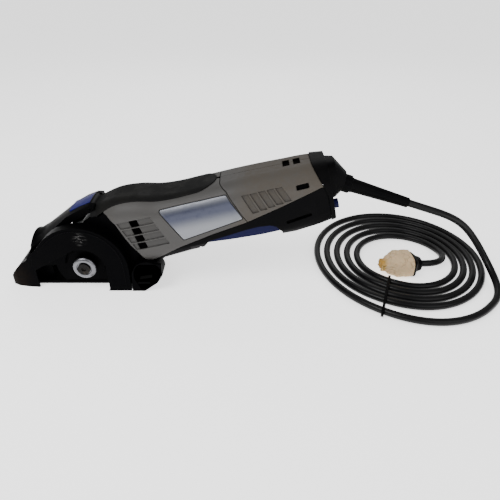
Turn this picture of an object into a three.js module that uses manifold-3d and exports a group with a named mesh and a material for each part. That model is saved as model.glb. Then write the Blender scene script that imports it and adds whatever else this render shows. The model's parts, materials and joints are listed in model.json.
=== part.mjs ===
// Compact circular saw with a worm-driven blade spindle, a plunging foot and its supply cord.
// Millimetres, +Z up. The saw points along -X, the blade side faces -Y, and z = 0 is the floor.
import * as THREE from 'three';
import { mergeVertices } from 'three/addons/utils/BufferGeometryUtils.js';
import Module from 'manifold-3d';

const wasm = await Module();
wasm.setup();

// Driving dimensions of the whole saw
const spindleHeight = 24.3; // spindle axis over the floor, with the saw plunged
const bodyTilt = 13.3; // degrees that the motor housing rises to the rear
const motorReach = 164; // spindle axis to the switch behind the motor, along the housing
const rearReach = 78; // front of the switch to the rear wall
const bodyReach = motorReach + rearReach; // spindle axis to the rear wall
const bodyRise = 48; // spindle axis to the top of the housing
const bodyDrop = 12; // spindle axis to the underside
const bodyHalf = 30; // half of the housing's width
const shellWall = 2.5;
const seat = 0.3; // gap between neighbours that touch
const running = 0.5; // gap round what turns or slides
const overrun = 6; // how far a cutter runs past what it cuts
const roundSteps = 24;
const smallSteps = 12;

// Materials
const finish = (color, roughness, metalness) => new THREE.MeshStandardMaterial({ color, roughness, metalness });
const greyPlastic = finish(0x76726e, 0.55, 0);
const blackPlastic = finish(0x161618, 0.5, 0);
const gripRubber = finish(0x1c1c1e, 0.8, 0);
const bluePlastic = finish(0x1b2a86, 0.4, 0);
const silverPlate = finish(0xc4c8d2, 0.35, 0.3);
const steel = finish(0xb9bbbe, 0.3, 1);
const darkSteel = finish(0x3a3a3c, 0.4, 1);
const copper = finish(0xb06a3a, 0.4, 1);
const brass = finish(0xb89a50, 0.35, 1);
const carbon = finish(0x2a2a2c, 0.9, 0);
const cordRubber = finish(0x101012, 0.55, 0);
const paper = finish(0xe1cda8, 0.9, 0);

// A closed geometry becomes a solid, and a solid becomes a geometry again
function toSolid(geometry) {
  const bare = geometry.clone();
  bare.deleteAttribute('normal');
  bare.deleteAttribute('uv');
  const merged = mergeVertices(bare);
  return new wasm.Manifold(new wasm.Mesh({
    numProp: 3,
    vertProperties: new Float32Array(merged.attributes.position.array),
    triVerts: new Uint32Array(merged.index.array),
  }));
}

function toGeometry(solid) {
  const mesh = solid.getMesh();
  const geometry = new THREE.BufferGeometry();
  geometry.setAttribute('position', new THREE.BufferAttribute(mesh.vertProperties, 3));
  geometry.setIndex(new THREE.BufferAttribute(mesh.triVerts, 1));
  const flat = geometry.toNonIndexed();
  flat.computeVertexNormals();
  return flat;
}

const join = (first, ...others) => others.reduce((sum, other) => sum.add(other), first);
const cut = (first, ...others) => others.reduce((rest, other) => rest.subtract(other), first);
const common = (first, ...others) => others.reduce((rest, other) => rest.intersect(other), first);

// Basic bodies. Every one is placed by its own ends, in the frame of its group
const radians = THREE.MathUtils.degToRad;
const scaled = (shares, alongUnit, upUnit) => shares.map(([along, up]) => [along * alongUnit, up * upUnit]);
const shifted = (points, along, up) => points.map(([x, z]) => [x + along, z + up]);

function outline(points) {
  return new THREE.Shape(points.map(([x, y]) => new THREE.Vector2(x, y)));
}

function extruded(points, depth) {
  return new THREE.ExtrudeGeometry(outline(points), { depth, bevelEnabled: false, steps: 1 });
}

function prismY(points, low, high) {
  return toSolid(extruded(points, high - low).rotateX(Math.PI / 2).translate(0, high, 0));
}

function prismZ(points, low, high) {
  return toSolid(extruded(points, high - low).translate(0, 0, low));
}

function prismX(points, low, high) {
  const geometry = extruded(points, high - low);
  geometry.applyMatrix4(new THREE.Matrix4().makeBasis(
    new THREE.Vector3(0, 1, 0), new THREE.Vector3(0, 0, 1), new THREE.Vector3(1, 0, 0)));
  return toSolid(geometry.translate(low, 0, 0));
}

function block(xLow, xHigh, yLow, yHigh, zLow, zHigh) {
  return prismY([[xLow, zLow], [xHigh, zLow], [xHigh, zHigh], [xLow, zHigh]], yLow, yHigh);
}

function rodY(x, z, radius, low, high, steps = roundSteps) {
  const geometry = new THREE.CylinderGeometry(radius, radius, high - low, steps);
  return toSolid(geometry.translate(x, (low + high) / 2, z));
}

function rodX(y, z, radius, low, high, steps = roundSteps) {
  const geometry = new THREE.CylinderGeometry(radius, radius, high - low, steps);
  return toSolid(geometry.rotateZ(Math.PI / 2).translate((low + high) / 2, y, z));
}

// A revolved profile of [radius, distance] pairs about +Y
function revolved(profile, steps = roundSteps) {
  return toSolid(new THREE.LatheGeometry(profile.map(([r, d]) => new THREE.Vector2(r, d)), steps));
}

// Points of an arc in a side view, by its centre, radius and angles in degrees
function arc(x, z, radius, from, to, steps) {
  return Array.from({ length: steps + 1 }, (_, i) => {
    const angle = radians(from + (to - from) * i / steps);
    return [x + radius * Math.cos(angle), z + radius * Math.sin(angle)];
  });
}

// Joins rings of equally many points into one closed skin with flat ends
function loft(rings) {
  const count = rings[0].length;
  const positions = rings.flat(2);
  const faces = [];
  for (let r = 0; r + 1 < rings.length; r += 1) {
    for (let i = 0; i < count; i += 1) {
      const next = (i + 1) % count;
      const [a, b, c, d] = [r * count + i, r * count + next, (r + 1) * count + next, (r + 1) * count + i];
      faces.push(a, b, c, a, c, d);
    }
  }
  const last = (rings.length - 1) * count;
  for (let i = 1; i + 1 < count; i += 1) {
    faces.push(0, i + 1, i, last, last + i, last + i + 1);
  }
  const geometry = new THREE.BufferGeometry();
  geometry.setAttribute('position', new THREE.Float32BufferAttribute(positions, 3));
  geometry.setIndex(faces);
  return toSolid(geometry);
}

// A coil spring about an axis, as one tube with square ends
class Helix extends THREE.Curve {
  constructor(radius, length, turns) {
    super();
    Object.assign(this, { radius, length, turns });
  }

  getPoint(t, target = new THREE.Vector3()) {
    const angle = t * this.turns * 2 * Math.PI;
    return target.set(this.radius * Math.cos(angle), this.radius * Math.sin(angle), this.length * t);
  }
}

function tube(curve, radius, steps, sides) {
  const section = new THREE.Shape(arc(0, 0, radius, 0, 360 - 360 / sides, sides - 1)
    .map(([x, y]) => new THREE.Vector2(x, y)));
  return new THREE.ExtrudeGeometry(section, { steps, extrudePath: curve, bevelEnabled: false });
}

// The scene graph: the saw stands upright, and its housing is tilted about the spindle axis
const saw = new THREE.Group();
const standing = new THREE.Group();
const tilted = new THREE.Group();
tilted.position.set(0, 0, spindleHeight);
tilted.rotation.y = -radians(bodyTilt);
const cordGroup = new THREE.Group();
saw.add(standing, tilted, cordGroup);

function place(parent, name, shape, material) {
  const geometry = shape instanceof THREE.BufferGeometry ? shape : toGeometry(shape);
  const mesh = new THREE.Mesh(geometry, material);
  mesh.name = name;
  parent.add(mesh);
  return mesh;
}

// A point of the tilted housing, seen in the standing frame, and back
const tiltCos = Math.cos(radians(bodyTilt));
const tiltSin = Math.sin(radians(bodyTilt));
const toStanding = (along, up) => [along * tiltCos - up * tiltSin, spindleHeight + along * tiltSin + up * tiltCos];
const toTilted = (x, z) => [
  x * tiltCos + (z - spindleHeight) * tiltSin,
  -x * tiltSin + (z - spindleHeight) * tiltCos,
];

// Housing skin: sections along the housing as shares of its reach, drop, rise and half width
const sectionShares = [
  [0.122, 1.0, 1.105, 0.87],
  [0.198, 1.0, 1.165, 0.97],
  [0.281, 0.98, 1.13, 1.0],
  [0.355, 0.86, 1.035, 1.0],
  [0.434, 0.74, 1.0, 1.0],
  [0.517, 0.74, 1.005, 1.0],
  [0.682, 0.92, 1.02, 0.985],
  [0.843, 1.03, 1.005, 0.967],
  [0.934, 0.86, 0.995, 0.935],
  [1.0, 0.66, 0.96, 0.885],
];
const shoulderRadius = 17;
const keelRadius = 13;
const cornerSteps = 4;

function sectionRing(along, drop, rise, half, inset) {
  const [top, bottom, side] = [rise - inset, inset - drop, half - inset];
  const high = shoulderRadius - inset;
  const low = keelRadius - inset;
  return [
    ...arc(side - low, bottom + low, low, -90, 0, cornerSteps),
    ...arc(side - high, top - high, high, 0, 90, cornerSteps),
    ...arc(high - side, top - high, high, 90, 180, cornerSteps),
    ...arc(low - side, bottom + low, low, 180, 270, cornerSteps),
  ].map(([y, z]) => [along, y, z]);
}

function skin(inset, runsThrough) {
  const rings = sectionShares.map(([along, drop, rise, half]) =>
    sectionRing(along * bodyReach, drop * bodyDrop, rise * bodyRise, half * bodyHalf, inset));
  if (runsThrough) {
    const moved = (ring, by) => ring.map(([x, y, z]) => [x + by, y, z]);
    rings.unshift(moved(rings[0], -overrun));
    rings.push(moved(rings[rings.length - 1], overrun));
  }
  return loft(rings);
}

const housing = skin(0, false);
const hollow = skin(shellWall, true);
const shell = cut(housing, hollow);

// Lines that divide the skin, from the bottom up or from front to rear, as shares of reach and rise
const frontLine = scaled([[0.263, -0.4], [0.2555, -0.2], [0.2326, 0.08], [0.213, 0.28], [0.2025, 0.44],
  [0.186, 0.76], [0.1636, 0.956], [0.1413, 1.054], [0.125, 1.4]], bodyReach, bodyRise);
const splitLine = scaled([[0.24, -0.26], [0.2555, -0.2], [0.4, 0.021], [0.534, 0.15], [0.67, 0.244],
  [0.826, 0.427], [0.963, 0.6]], bodyReach, bodyRise);
const seamLine = scaled([[0.673, 0.26], [0.6566, 0.444], [0.6459, 0.61], [0.6347, 0.77],
  [0.6225, 0.906], [0.601, 1.014], [0.59, 1.3]], bodyReach, bodyRise);
const tailLine = scaled([[0.983, -0.5], [0.983, 0.4], [0.974, 0.6], [0.958, 0.84], [0.946, 1.0],
  [0.93, 1.3]], bodyReach, bodyRise);

const frontRegion = prismY([
  ...shifted(frontLine.slice(1), 0, 0),
  ...shifted([...seamLine].reverse(), -seat / 2, 0),
  ...shifted([...splitLine.slice(2, 5)].reverse(), 0, seat / 2),
], -bodyReach, bodyReach);
const rearRegion = prismY([
  ...shifted(splitLine.slice(4), 0, seat / 2),
  ...shifted(tailLine.slice(2), -seat / 2, 0),
  ...shifted([...seamLine].reverse(), seat / 2, 0),
], -bodyReach, bodyReach);
const lowerRegion = prismY([
  ...shifted(splitLine, 0, -seat / 2),
  ...shifted(tailLine.slice(2, 3), -seat / 2, -seat / 2),
  ...shifted(tailLine.slice(0, 2).reverse(), -seat / 2, 0),
  [frontLine[0][0], -bodyRise],
], -bodyReach, bodyReach);
const tailRegion = prismY([
  ...shifted(tailLine, seat / 2, 0),
  [bodyReach + overrun, tailLine[5][1]],
  [bodyReach + overrun, tailLine[0][1]],
], -bodyReach, bodyReach);

// Soft grip on the top: a strip with a round rear end, let into both halves
const gripSize = { front: 26, seamRoom: 4.442, halfFront: 21.5, halfRear: 18.5, proud: 0.8, base: 41.5 };
gripSize.rear = seamLine[5][0] - gripSize.seamRoom;
function gripPlan(margin) {
  const { front, rear, halfFront, halfRear } = gripSize;
  const round = halfRear - margin;
  const centre = rear - halfRear;
  return [
    [front - overrun, margin - halfFront],
    ...arc(centre, 0, round, -90, 90, cornerSteps * 2),
    [front - overrun, halfFront - margin],
  ];
}
const gripHole = prismZ(gripPlan(0), gripSize.base, bodyRise * 2);
const gripStrip = common(
  cut(skin(-gripSize.proud, false), hollow),
  prismZ(gripPlan(seat), gripSize.base, bodyRise * 2),
);
place(tilted, 'top_grip', gripStrip, gripRubber);

// Front louvres: bands let into both sides, each with a square air hole at its front
const louvre = { count: 4, lowFront: 56, highFront: 46.5, length: 32, bottom: 6.8, top: 38, depth: 0.9 };
louvre.pitch = (louvre.top - louvre.bottom) / louvre.count;
louvre.ridge = 1.3;
louvre.hole = 7;
louvre.holeStart = 58;
function sideCutter(points, depth) {
  const band = prismY(points, -bodyHalf * 2, bodyHalf * 2);
  return cut(band, skin(depth, true));
}
const louvreFront = up => louvre.lowFront + (louvre.highFront - louvre.lowFront)
  * (up - louvre.bottom) / (louvre.top - louvre.bottom);
const frontGrooves = [];
const frontHoles = [];
for (let i = 0; i < louvre.count; i += 1) {
  const low = louvre.bottom + i * louvre.pitch + louvre.ridge / 2;
  const high = low + louvre.pitch - louvre.ridge;
  frontGrooves.push(sideCutter([
    [louvreFront(low), low], [louvreFront(low) + louvre.length, low],
    [louvreFront(high) + louvre.length, high], [louvreFront(high), high],
  ], louvre.depth));
  frontHoles.push(block(louvre.holeStart, louvre.holeStart + louvre.hole,
    -bodyHalf * 2, bodyHalf * 2, low, low + louvre.hole));
}

// Rear louvres: upright ribs left standing in a shallow field
const field = { count: 5, reach: 78.5, length: 38, lean: 6, bottom: 19.5, top: 38, climb: 5, depth: 0.9, rib: 1.6 };
field.front = bodyReach - field.reach;
field.pitch = field.length / field.count;
const rearGrooves = [];
for (let i = 0; i < field.count; i += 1) {
  const start = field.front + i * field.pitch;
  const end = start + field.pitch - field.rib;
  const rise = field.climb * i / field.count;
  rearGrooves.push(sideCutter([
    [start + field.lean, field.bottom + rise], [end + field.lean, field.bottom + rise],
    [end, field.top], [start, field.top],
  ], field.depth));
}

// Small slots of the rear: two holes across the top, an oval slot and a long lower slot
const slots = {
  topReach: 38, topPitch: 9.7, topSize: 6, topHalf: 7,
  ovalReach: 31, ovalLength: 13, ovalUp: 34, ovalHigh: 4.6,
  lowReach: 45, lowLength: 24, lowUp: 3.4, lowHigh: 3, lowClimb: 2.6,
};
const topHoles = [0, 1].map(i => {
  const start = bodyReach - slots.topReach + i * slots.topPitch;
  return block(start, start + slots.topSize, -slots.topHalf, slots.topHalf, bodyRise / 2, bodyRise * 2);
});
function slotPrism(front, length, up, high, climb) {
  const radius = high / 2;
  return prismY([
    ...arc(front + radius, up, radius, 90, 270, cornerSteps),
    ...arc(front + length - radius, up + climb, radius, -90, 90, cornerSteps),
  ], -bodyHalf * 2, bodyHalf * 2);
}
const ovalSlot = slotPrism(bodyReach - slots.ovalReach, slots.ovalLength, slots.ovalUp, slots.ovalHigh, 0);
const lowSlot = slotPrism(bodyReach - slots.lowReach, slots.lowLength, slots.lowUp, slots.lowHigh, slots.lowClimb);

// Bare plate on the left side, in a recess of its own
const plateCorners = scaled([[0.364, 0.85], [0.6226, 0.86], [0.6585, 0.33], [0.417, 0.165]], bodyReach, bodyRise);
const plateThick = 0.8;
function grown(points, margin) {
  const middle = points.reduce(([a, b], [x, z]) => [a + x / points.length, b + z / points.length], [0, 0]);
  return points.map(([x, z]) => [x + margin * Math.sign(x - middle[0]), z + margin * Math.sign(z - middle[1])]);
}
const plateRecess = cut(prismY(grown(plateCorners, seat), -bodyHalf * 2, 0), skin(plateThick + seat, true));
const namePlate = cut(common(housing, prismY(plateCorners, -bodyHalf * 2, 0)), skin(plateThick, true));
place(tilted, 'name_plate', namePlate, silverPlate);

// Electric motor, on an axis inside the housing
const motor = {
  up: 20, coreFront: 78, coreOuter: 21, coreBore: 13.6, windowIn: 14.4, windowOut: 18.8,
  coilSpan: 54, coilSlack: 2, overhang: 4, shaft: 4, shaftFront: -11, rearRoom: 11, rotor: 12.9, rotorSlots: 12,
  slotWide: 1.6, slotDeep: 5, commutator: 8.6, commutatorReach: 41, commutatorGap: 7,
  commutatorLength: 13, barGap: 0.6,
  barDeep: 1.2, fan: 19.5, fanFront: 66.5, fanThick: 1.6, fanBlade: 6, fanBlades: 9, bladeThick: 1.4, fanHub: 7,
};
motor.shaftRear = motorReach - motor.rearRoom;
motor.commutatorFront = motorReach - motor.commutatorReach;
motor.coreRear = motor.commutatorFront - motor.commutatorGap;
motor.coreLength = motor.coreRear - motor.coreFront;
const bearing = { bore: 4, outer: 11, wide: 7, chamfer: 0.5, reach: 21 };
const frontBearing = 57;
const rearBearing = motorReach - bearing.reach;

function sectorX(inner, outer, middle, halfSpan, low, high) {
  const steps = 12;
  const edge = [
    ...arc(0, motor.up, outer, middle - halfSpan, middle + halfSpan, steps),
    ...arc(0, motor.up, inner, middle + halfSpan, middle - halfSpan, steps),
  ];
  return prismX(edge, low, high);
}

const coreRing = cut(
  rodX(0, motor.up, motor.coreOuter, motor.coreFront, motor.coreRear),
  rodX(0, motor.up, motor.coreBore, motor.coreFront - overrun, motor.coreRear + overrun),
  ...[90, 270].map(middle => sectorX(motor.coreBore - running, motor.windowOut, middle,
    motor.coilSpan, motor.coreFront - overrun, motor.coreRear + overrun)),
);
place(tilted, 'field_core', coreRing, darkSteel);
[['field_coil_top', 90], ['field_coil_bottom', 270]].forEach(([name, middle]) => {
  const coilBlock = sectorX(motor.windowIn, motor.windowOut - seat, middle, motor.coilSpan - motor.coilSlack,
    motor.coreFront - motor.overhang, motor.coreRear + motor.overhang);
  place(tilted, name, coilBlock, copper);
});

// A ball bearing as a ring with a chamfered rim, lying along +Y from its own origin
const bearingRing = () => {
  const { bore, outer, wide, chamfer } = bearing;
  return [[bore + seat, 0], [outer - chamfer, 0], [outer, chamfer], [outer, wide - chamfer],
    [outer - chamfer, wide], [bore + seat, wide], [bore + seat, 0]];
};
const latheAlongY = (profile, low, steps = roundSteps) => new THREE.LatheGeometry(
  profile.map(([r, d]) => new THREE.Vector2(r, d)), steps).translate(0, low, 0);
const latheAlongX = (profile, low, up, steps = roundSteps) => new THREE.LatheGeometry(
  profile.map(([r, d]) => new THREE.Vector2(r, d)), steps).rotateZ(-Math.PI / 2).translate(low, 0, up);
place(tilted, 'front_motor_bearing', toSolid(latheAlongX(bearingRing(), frontBearing, motor.up)), steel);
place(tilted, 'rear_motor_bearing', toSolid(latheAlongX(bearingRing(), rearBearing, motor.up)), steel);

// Crossed helical gears: a many-start worm on the motor shaft drives the wheel on the spindle
const gears = { module: 1.55, wheelTeeth: 12, wormStarts: 6, wheelWide: 12, wormLength: 17, helix: 45,
  backlash: 0.86 };
gears.wheelRadius = gears.wheelTeeth * gears.module / Math.cos(radians(gears.helix)) / 2;
gears.wormRadius = motor.up - gears.wheelRadius;

// A helical gear: a toothed outline carried along its axis and turned as it goes, centred on its origin
function helicalGear(teeth, pitchRadius, bore, wide, twistSign) {
  const { module, backlash, helix } = gears;
  const tip = pitchRadius + module * 0.95;
  const root = pitchRadius - module * 1.2;
  const quarter = Math.PI / teeth / 2 * backlash;
  const points = [];
  for (let i = 0; i < teeth; i += 1) {
    const middle = i * 2 * Math.PI / teeth;
    [[root, -1.5], [tip, -0.5], [tip, 0.5], [root, 1.5]].forEach(([radius, share]) => {
      const angle = middle + share * quarter;
      points.push([radius * Math.cos(angle), radius * Math.sin(angle)]);
    });
  }
  const shape = outline(points);
  if (bore > 0) shape.holes.push(new THREE.Path(arc(0, 0, bore, 360, 360 / smallSteps, smallSteps - 1)
    .map(([x, y]) => new THREE.Vector2(x, y))));
  const steps = 6;
  const geometry = new THREE.ExtrudeGeometry(shape, { depth: wide, steps, bevelEnabled: false });
  geometry.translate(0, 0, -wide / 2);
  const position = geometry.attributes.position;
  for (let i = 0; i < position.count; i += 1) {
    const turn = twistSign * position.getZ(i) * Math.tan(radians(helix)) / pitchRadius;
    const [x, y] = [position.getX(i), position.getY(i)];
    position.setXY(i, x * Math.cos(turn) - y * Math.sin(turn), x * Math.sin(turn) + y * Math.cos(turn));
  }
  return geometry;
}

const wormGeometry = helicalGear(gears.wormStarts, gears.wormRadius, 0, gears.wormLength, 1)
  .rotateZ(Math.PI / gears.wormStarts).rotateY(Math.PI / 2).translate(0, 0, motor.up);
const shaftBody = join(
  toSolid(wormGeometry),
  rodX(0, motor.up, motor.shaft, motor.shaftFront, motor.shaftRear, smallSteps),
);
place(tilted, 'armature_shaft', shaftBody, steel);

const rotorBody = cut(
  rodX(0, motor.up, motor.rotor, motor.coreFront, motor.coreRear),
  rodX(0, motor.up, motor.shaft + seat, motor.coreFront - overrun, motor.coreRear + overrun, smallSteps),
  ...Array.from({ length: motor.rotorSlots }, (_, i) => {
    const slot = new THREE.BoxGeometry(motor.coreLength + overrun, motor.slotWide, motor.slotDeep * 2);
    slot.translate(motor.coreFront + motor.coreLength / 2, 0, motor.rotor);
    return toSolid(slot.rotateX(i * 2 * Math.PI / motor.rotorSlots).translate(0, 0, motor.up));
  }),
);
place(tilted, 'armature_core', rotorBody, darkSteel);

const commutatorRear = motor.commutatorFront + motor.commutatorLength;
const commutatorBody = cut(
  rodX(0, motor.up, motor.commutator, motor.commutatorFront, commutatorRear),
  rodX(0, motor.up, motor.shaft + seat, motor.commutatorFront - overrun, commutatorRear + overrun, smallSteps),
  ...Array.from({ length: motor.rotorSlots }, (_, i) => {
    const slot = new THREE.BoxGeometry(motor.commutatorLength + overrun, motor.barGap, motor.barDeep * 2);
    slot.translate(motor.commutatorFront + motor.commutatorLength / 2, 0, motor.commutator);
    return toSolid(slot.rotateX(i * 2 * Math.PI / motor.rotorSlots).translate(0, 0, motor.up));
  }),
);
place(tilted, 'commutator', commutatorBody, copper);

const fanBody = cut(
  join(
    rodX(0, motor.up, motor.fan, motor.fanFront, motor.fanFront + motor.fanThick),
    rodX(0, motor.up, motor.fanHub, motor.fanFront, motor.fanFront + motor.fanBlade),
    ...Array.from({ length: motor.fanBlades }, (_, i) => {
      const reach = motor.fan - motor.fanHub;
      const blade = new THREE.BoxGeometry(motor.fanBlade, motor.bladeThick, reach);
      blade.translate(motor.fanFront + motor.fanBlade / 2, 0, motor.fanHub + reach / 2 - running);
      return toSolid(blade.rotateX(i * 2 * Math.PI / motor.fanBlades).translate(0, 0, motor.up));
    }),
  ),
  rodX(0, motor.up, motor.shaft + seat, motor.fanFront - overrun, motor.fanFront + overrun * 2, smallSteps),
);
place(tilted, 'fan', fanBody, blackPlastic);

// Brush gear on both sides of the commutator
const brush = { half: 3, outside: 5, behind: 3.5, face: 0.4, holderGap: 2.2, length: 9 };
const brushMiddle = motor.commutatorFront + brush.behind + brush.half;
const holderEnd = bodyHalf - shellWall - running;
[-1, 1].forEach(side => {
  const name = side < 0 ? 'left' : 'right';
  const box = (half, near, far) => block(brushMiddle - half, brushMiddle + half,
    Math.min(side * near, side * far), Math.max(side * near, side * far), motor.up - half, motor.up + half);
  const near = motor.commutator + brush.face;
  const holder = cut(
    box(brush.outside, motor.commutator + brush.holderGap, holderEnd),
    box(brush.half + seat, 0, near + brush.length + overrun),
  );
  place(tilted, `brush_holder_${name}`, holder, brass);
  place(tilted, `brush_${name}`, box(brush.half, near, near + brush.length), carbon);
});

// Blade spindle, its bearings, wheel, flange, washer and screw, all about the spindle axis
const gearLeft = -20.5;
const gearRight = 24;
const spindleSizes = {
  radius: 4, left: -26, right: 17, screwHole: 2.7, screwDeep: 12,
  bearingLeft: -15, bearingRight: 9.8,
};
const drive = {
  flangeLeft: -25.4, flangeWide: 2.6, flange: 9.5, bladeRoom: 2.1, washer: 11.3, washerWide: 3.6,
  washerLip: 1.2, washerInner: 6.8, screwHead: 5.9, headHigh: 1.8, screwShank: 2.4, socket: 2.4, socketDeep: 1.4,
};
drive.washerLeft = drive.flangeLeft - drive.bladeRoom - drive.washerWide;
place(tilted, 'spindle', cut(
  rodY(0, 0, spindleSizes.radius, spindleSizes.left, spindleSizes.right),
  rodY(0, 0, spindleSizes.screwHole, spindleSizes.left - overrun, spindleSizes.left + spindleSizes.screwDeep),
), steel);
place(tilted, 'spindle_bearing_left', toSolid(latheAlongY(bearingRing(), spindleSizes.bearingLeft)), steel);
place(tilted, 'spindle_bearing_right', toSolid(latheAlongY(bearingRing(), spindleSizes.bearingRight)), steel);
place(tilted, 'worm_wheel', toSolid(helicalGear(gears.wheelTeeth, gears.wheelRadius,
  spindleSizes.radius + seat, gears.wheelWide, 1).rotateX(-Math.PI / 2)), brass);
place(tilted, 'inner_flange', revolved([
  [spindleSizes.radius + seat, drive.flangeLeft], [drive.flange, drive.flangeLeft],
  [drive.flange, drive.flangeLeft + drive.flangeWide / 2], [drive.flange * 0.8, drive.flangeLeft + drive.flangeWide],
  [spindleSizes.radius + seat, drive.flangeLeft + drive.flangeWide], [spindleSizes.radius + seat, drive.flangeLeft],
]), darkSteel);
const washerRight = drive.washerLeft + drive.washerWide;
place(tilted, 'clamp_washer', revolved([
  [drive.screwShank + seat, washerRight], [drive.screwShank + seat, drive.washerLeft + drive.washerLip],
  [drive.washerInner - seat, drive.washerLeft + drive.washerLip], [drive.washerInner, drive.washerLeft],
  [drive.washer * 0.72, drive.washerLeft], [drive.washer * 0.9, drive.washerLeft + drive.washerLip * 0.7],
  [drive.washer, drive.washerLeft + drive.washerWide * 0.7], [drive.washer, washerRight],
  [drive.screwShank + seat, washerRight],
]), steel);
const headRight = drive.washerLeft + drive.washerLip - seat;
place(tilted, 'blade_screw', cut(
  join(
    rodY(0, 0, drive.screwHead, headRight - drive.headHigh, headRight),
    rodY(0, 0, drive.screwShank, headRight - running,
      spindleSizes.left + spindleSizes.screwDeep - running, smallSteps),
  ),
  rodY(0, 0, drive.socket, headRight - drive.headHigh - overrun, headRight - drive.headHigh + drive.socketDeep, 6),
), darkSteel);

// Foot pivot and the heel that turns on it
const pivot = { x: 60, z: 18.5, lug: 14.5, pin: 3, tongue: 9, clear: 0.9 };
const [pivotAlong, pivotUp] = toTilted(pivot.x, pivot.z);
const heel = { left: -33, right: 30, tongueLeft: -13, tongueRight: 7.5, slotRight: 13.6, plateRear: 46,
  front: [[44, 0], [56, 0], [69, 9.5]], top: [45, 20], roomFront: 40, roomRear: 80, roomTop: 60,
  dent: { front: 50, rear: 62, low: 8.4, high: 10.8, deep: 1.5 } };

// Screws of the blade guard, about the spindle
const guardScrew = { reach: 24, radius: 1.5, head: 2.8, headHigh: 1.2, deep: 8, angles: [48, 100] };
const guardScrewPlaces = guardScrew.angles.map(angle => arc(0, 0, guardScrew.reach, angle, angle, 1)[0]);

// Sizes of the foot, and the edge that the flanks of its arm leave clear as the foot swings
const foot = { wall: 2.6, plate: 3, plateFront: -58, plateLeft: -19.6, plateRight: 30, armHalf: 19, armThick: 3,
  noseReach: 77.5, noseUpright: 20, armHigh: 85.3, noseBack: -48.9, flank: 2.6 };
const armOuter = scaled([[-0.62, 0.592], [-0.477, 0.669], [-0.315, 0.775], [-0.218, 0.837], [-0.154, 0.878],
  [-0.003, 0.954], [0.129, 1.0], [0.2, 0.998]], foot.noseReach, foot.armHigh);
const armInner = scaled([[0.205, 0.95], [0.045, 0.86], [-0.1, 0.79], [-0.28, 0.66], [-0.44, 0.55],
  [-0.56, 0.46]], foot.noseReach, foot.armHigh);
const swing = { angle: 19, clear: 0.9 };
const sweptEdge = armInner.map(([x, z]) => {
  const reach = Math.hypot(x - pivot.x, z - pivot.z) - swing.clear;
  const angle = THREE.MathUtils.radToDeg(Math.atan2(z - pivot.z, x - pivot.x));
  return { reach, angle: angle + swing.angle };
});
const sweptPoints = sweptEdge.map(({ reach, angle }) => arc(pivot.x, pivot.z, reach, angle, angle, 1)[0]);
const flankRoom = [
  [pivot.x + sweptEdge[0].reach, -overrun],
  ...arc(pivot.x, pivot.z, sweptEdge[0].reach, 0, sweptEdge[0].angle, 16),
  ...sweptPoints.slice(1),
  [sweptPoints[sweptPoints.length - 1][0], -overrun],
].map(([x, z]) => toTilted(x, z));
const flankInside = foot.armHalf - foot.flank - swing.clear;

// Gear case: round about the spindle, closed under the grip, with a neck into the housing
const gearCase = { radius: 30.5, floor: 4.8, front: -24, rear: 44, boss: 17.5, bossOut: 2.2, neckFront: 40,
  neckRear: 65.5, neckHalf: 17.5, neckLow: -5, neckHigh: 41.5, lip: 1, wormBore: 8.9, chamber: 16,
  chamberGap: 1.4 };
const gearEdge = shifted(frontLine.slice(1, 7), -gearCase.lip, 0);
const humpShares = scaled([[-0.05, 0.632], [0.004, 0.69], [0.024, 0.76], [0.04, 0.83], [0.058, 0.89], [0.084, 0.95],
  [0.118, 1.0], [0.154, 1.02]], bodyReach, bodyRise);
const gearOutline = [
  toTilted(gearCase.front, gearCase.floor),
  toTilted(pivot.x - pivot.tongue * 2, gearCase.floor),
  ...arc(pivotAlong, pivotUp, pivot.tongue, 250, 380, 8),
  ...gearEdge.slice(0, 5),
  ...[...humpShares].reverse(),
  ...arc(0, 0, gearCase.radius, 118, 205, 10),
];
const gearBlock = join(
  prismY(gearOutline, -flankInside, flankInside),
  common(prismY(gearOutline, gearLeft, gearRight), prismY(flankRoom, gearLeft - overrun, gearRight + overrun)),
);
const neck = common(
  block(gearCase.neckFront, gearCase.neckRear, -gearCase.neckHalf, gearCase.neckHalf,
    gearCase.neckLow, gearCase.neckHigh),
  skin(shellWall + seat, true),
);
const lugClearance = pivot.lug + pivot.clear;
const heelRoom = [
  [pivot.x - lugClearance - pivot.clear * 2, -overrun], [pivot.x - lugClearance - pivot.clear * 2, pivot.z],
  ...arc(pivot.x, pivot.z, lugClearance, 150, 0, 10),
  [pivot.x + lugClearance, -overrun],
].map(([x, z]) => toTilted(x, z));
const skinRoom = common(
  cut(skin(-gripSize.proud - seat, false), skin(shellWall + seat, true)),
  block(0, bodyReach, -bodyHalf * 2, bodyHalf * 2, 0, bodyRise * 2),
);
const gearBody = cut(
  join(gearBlock, neck, rodY(0, 0, gearCase.boss, gearLeft - gearCase.bossOut, 0)),
  skinRoom,
  prismY(heelRoom, gearLeft - overrun, heel.tongueLeft),
  prismY(heelRoom, heel.tongueRight, gearRight + overrun),
  ...guardScrewPlaces.map(([x, z]) => rodY(x, z, guardScrew.radius + seat, gearLeft - overrun,
    gearLeft + guardScrew.deep + seat, smallSteps)),
  rodY(pivotAlong, pivotUp, pivot.pin + seat, gearLeft, gearRight, smallSteps),
  rodY(0, 0, gearCase.chamber + running, -gears.wheelWide / 2 - gearCase.chamberGap, gearRight + overrun),
  rodY(0, 0, bearing.outer + seat, spindleSizes.bearingLeft - seat, 0),
  rodY(0, 0, spindleSizes.radius + running, gearLeft - overrun, 0),
  rodX(0, motor.up, gearCase.wormBore, motor.shaftFront - running, frontBearing),
  rodX(0, motor.up, bearing.outer + seat, frontBearing - seat, gearCase.neckRear + overrun),
);
place(tilted, 'gear_case', gearBody, blackPlastic);

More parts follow.
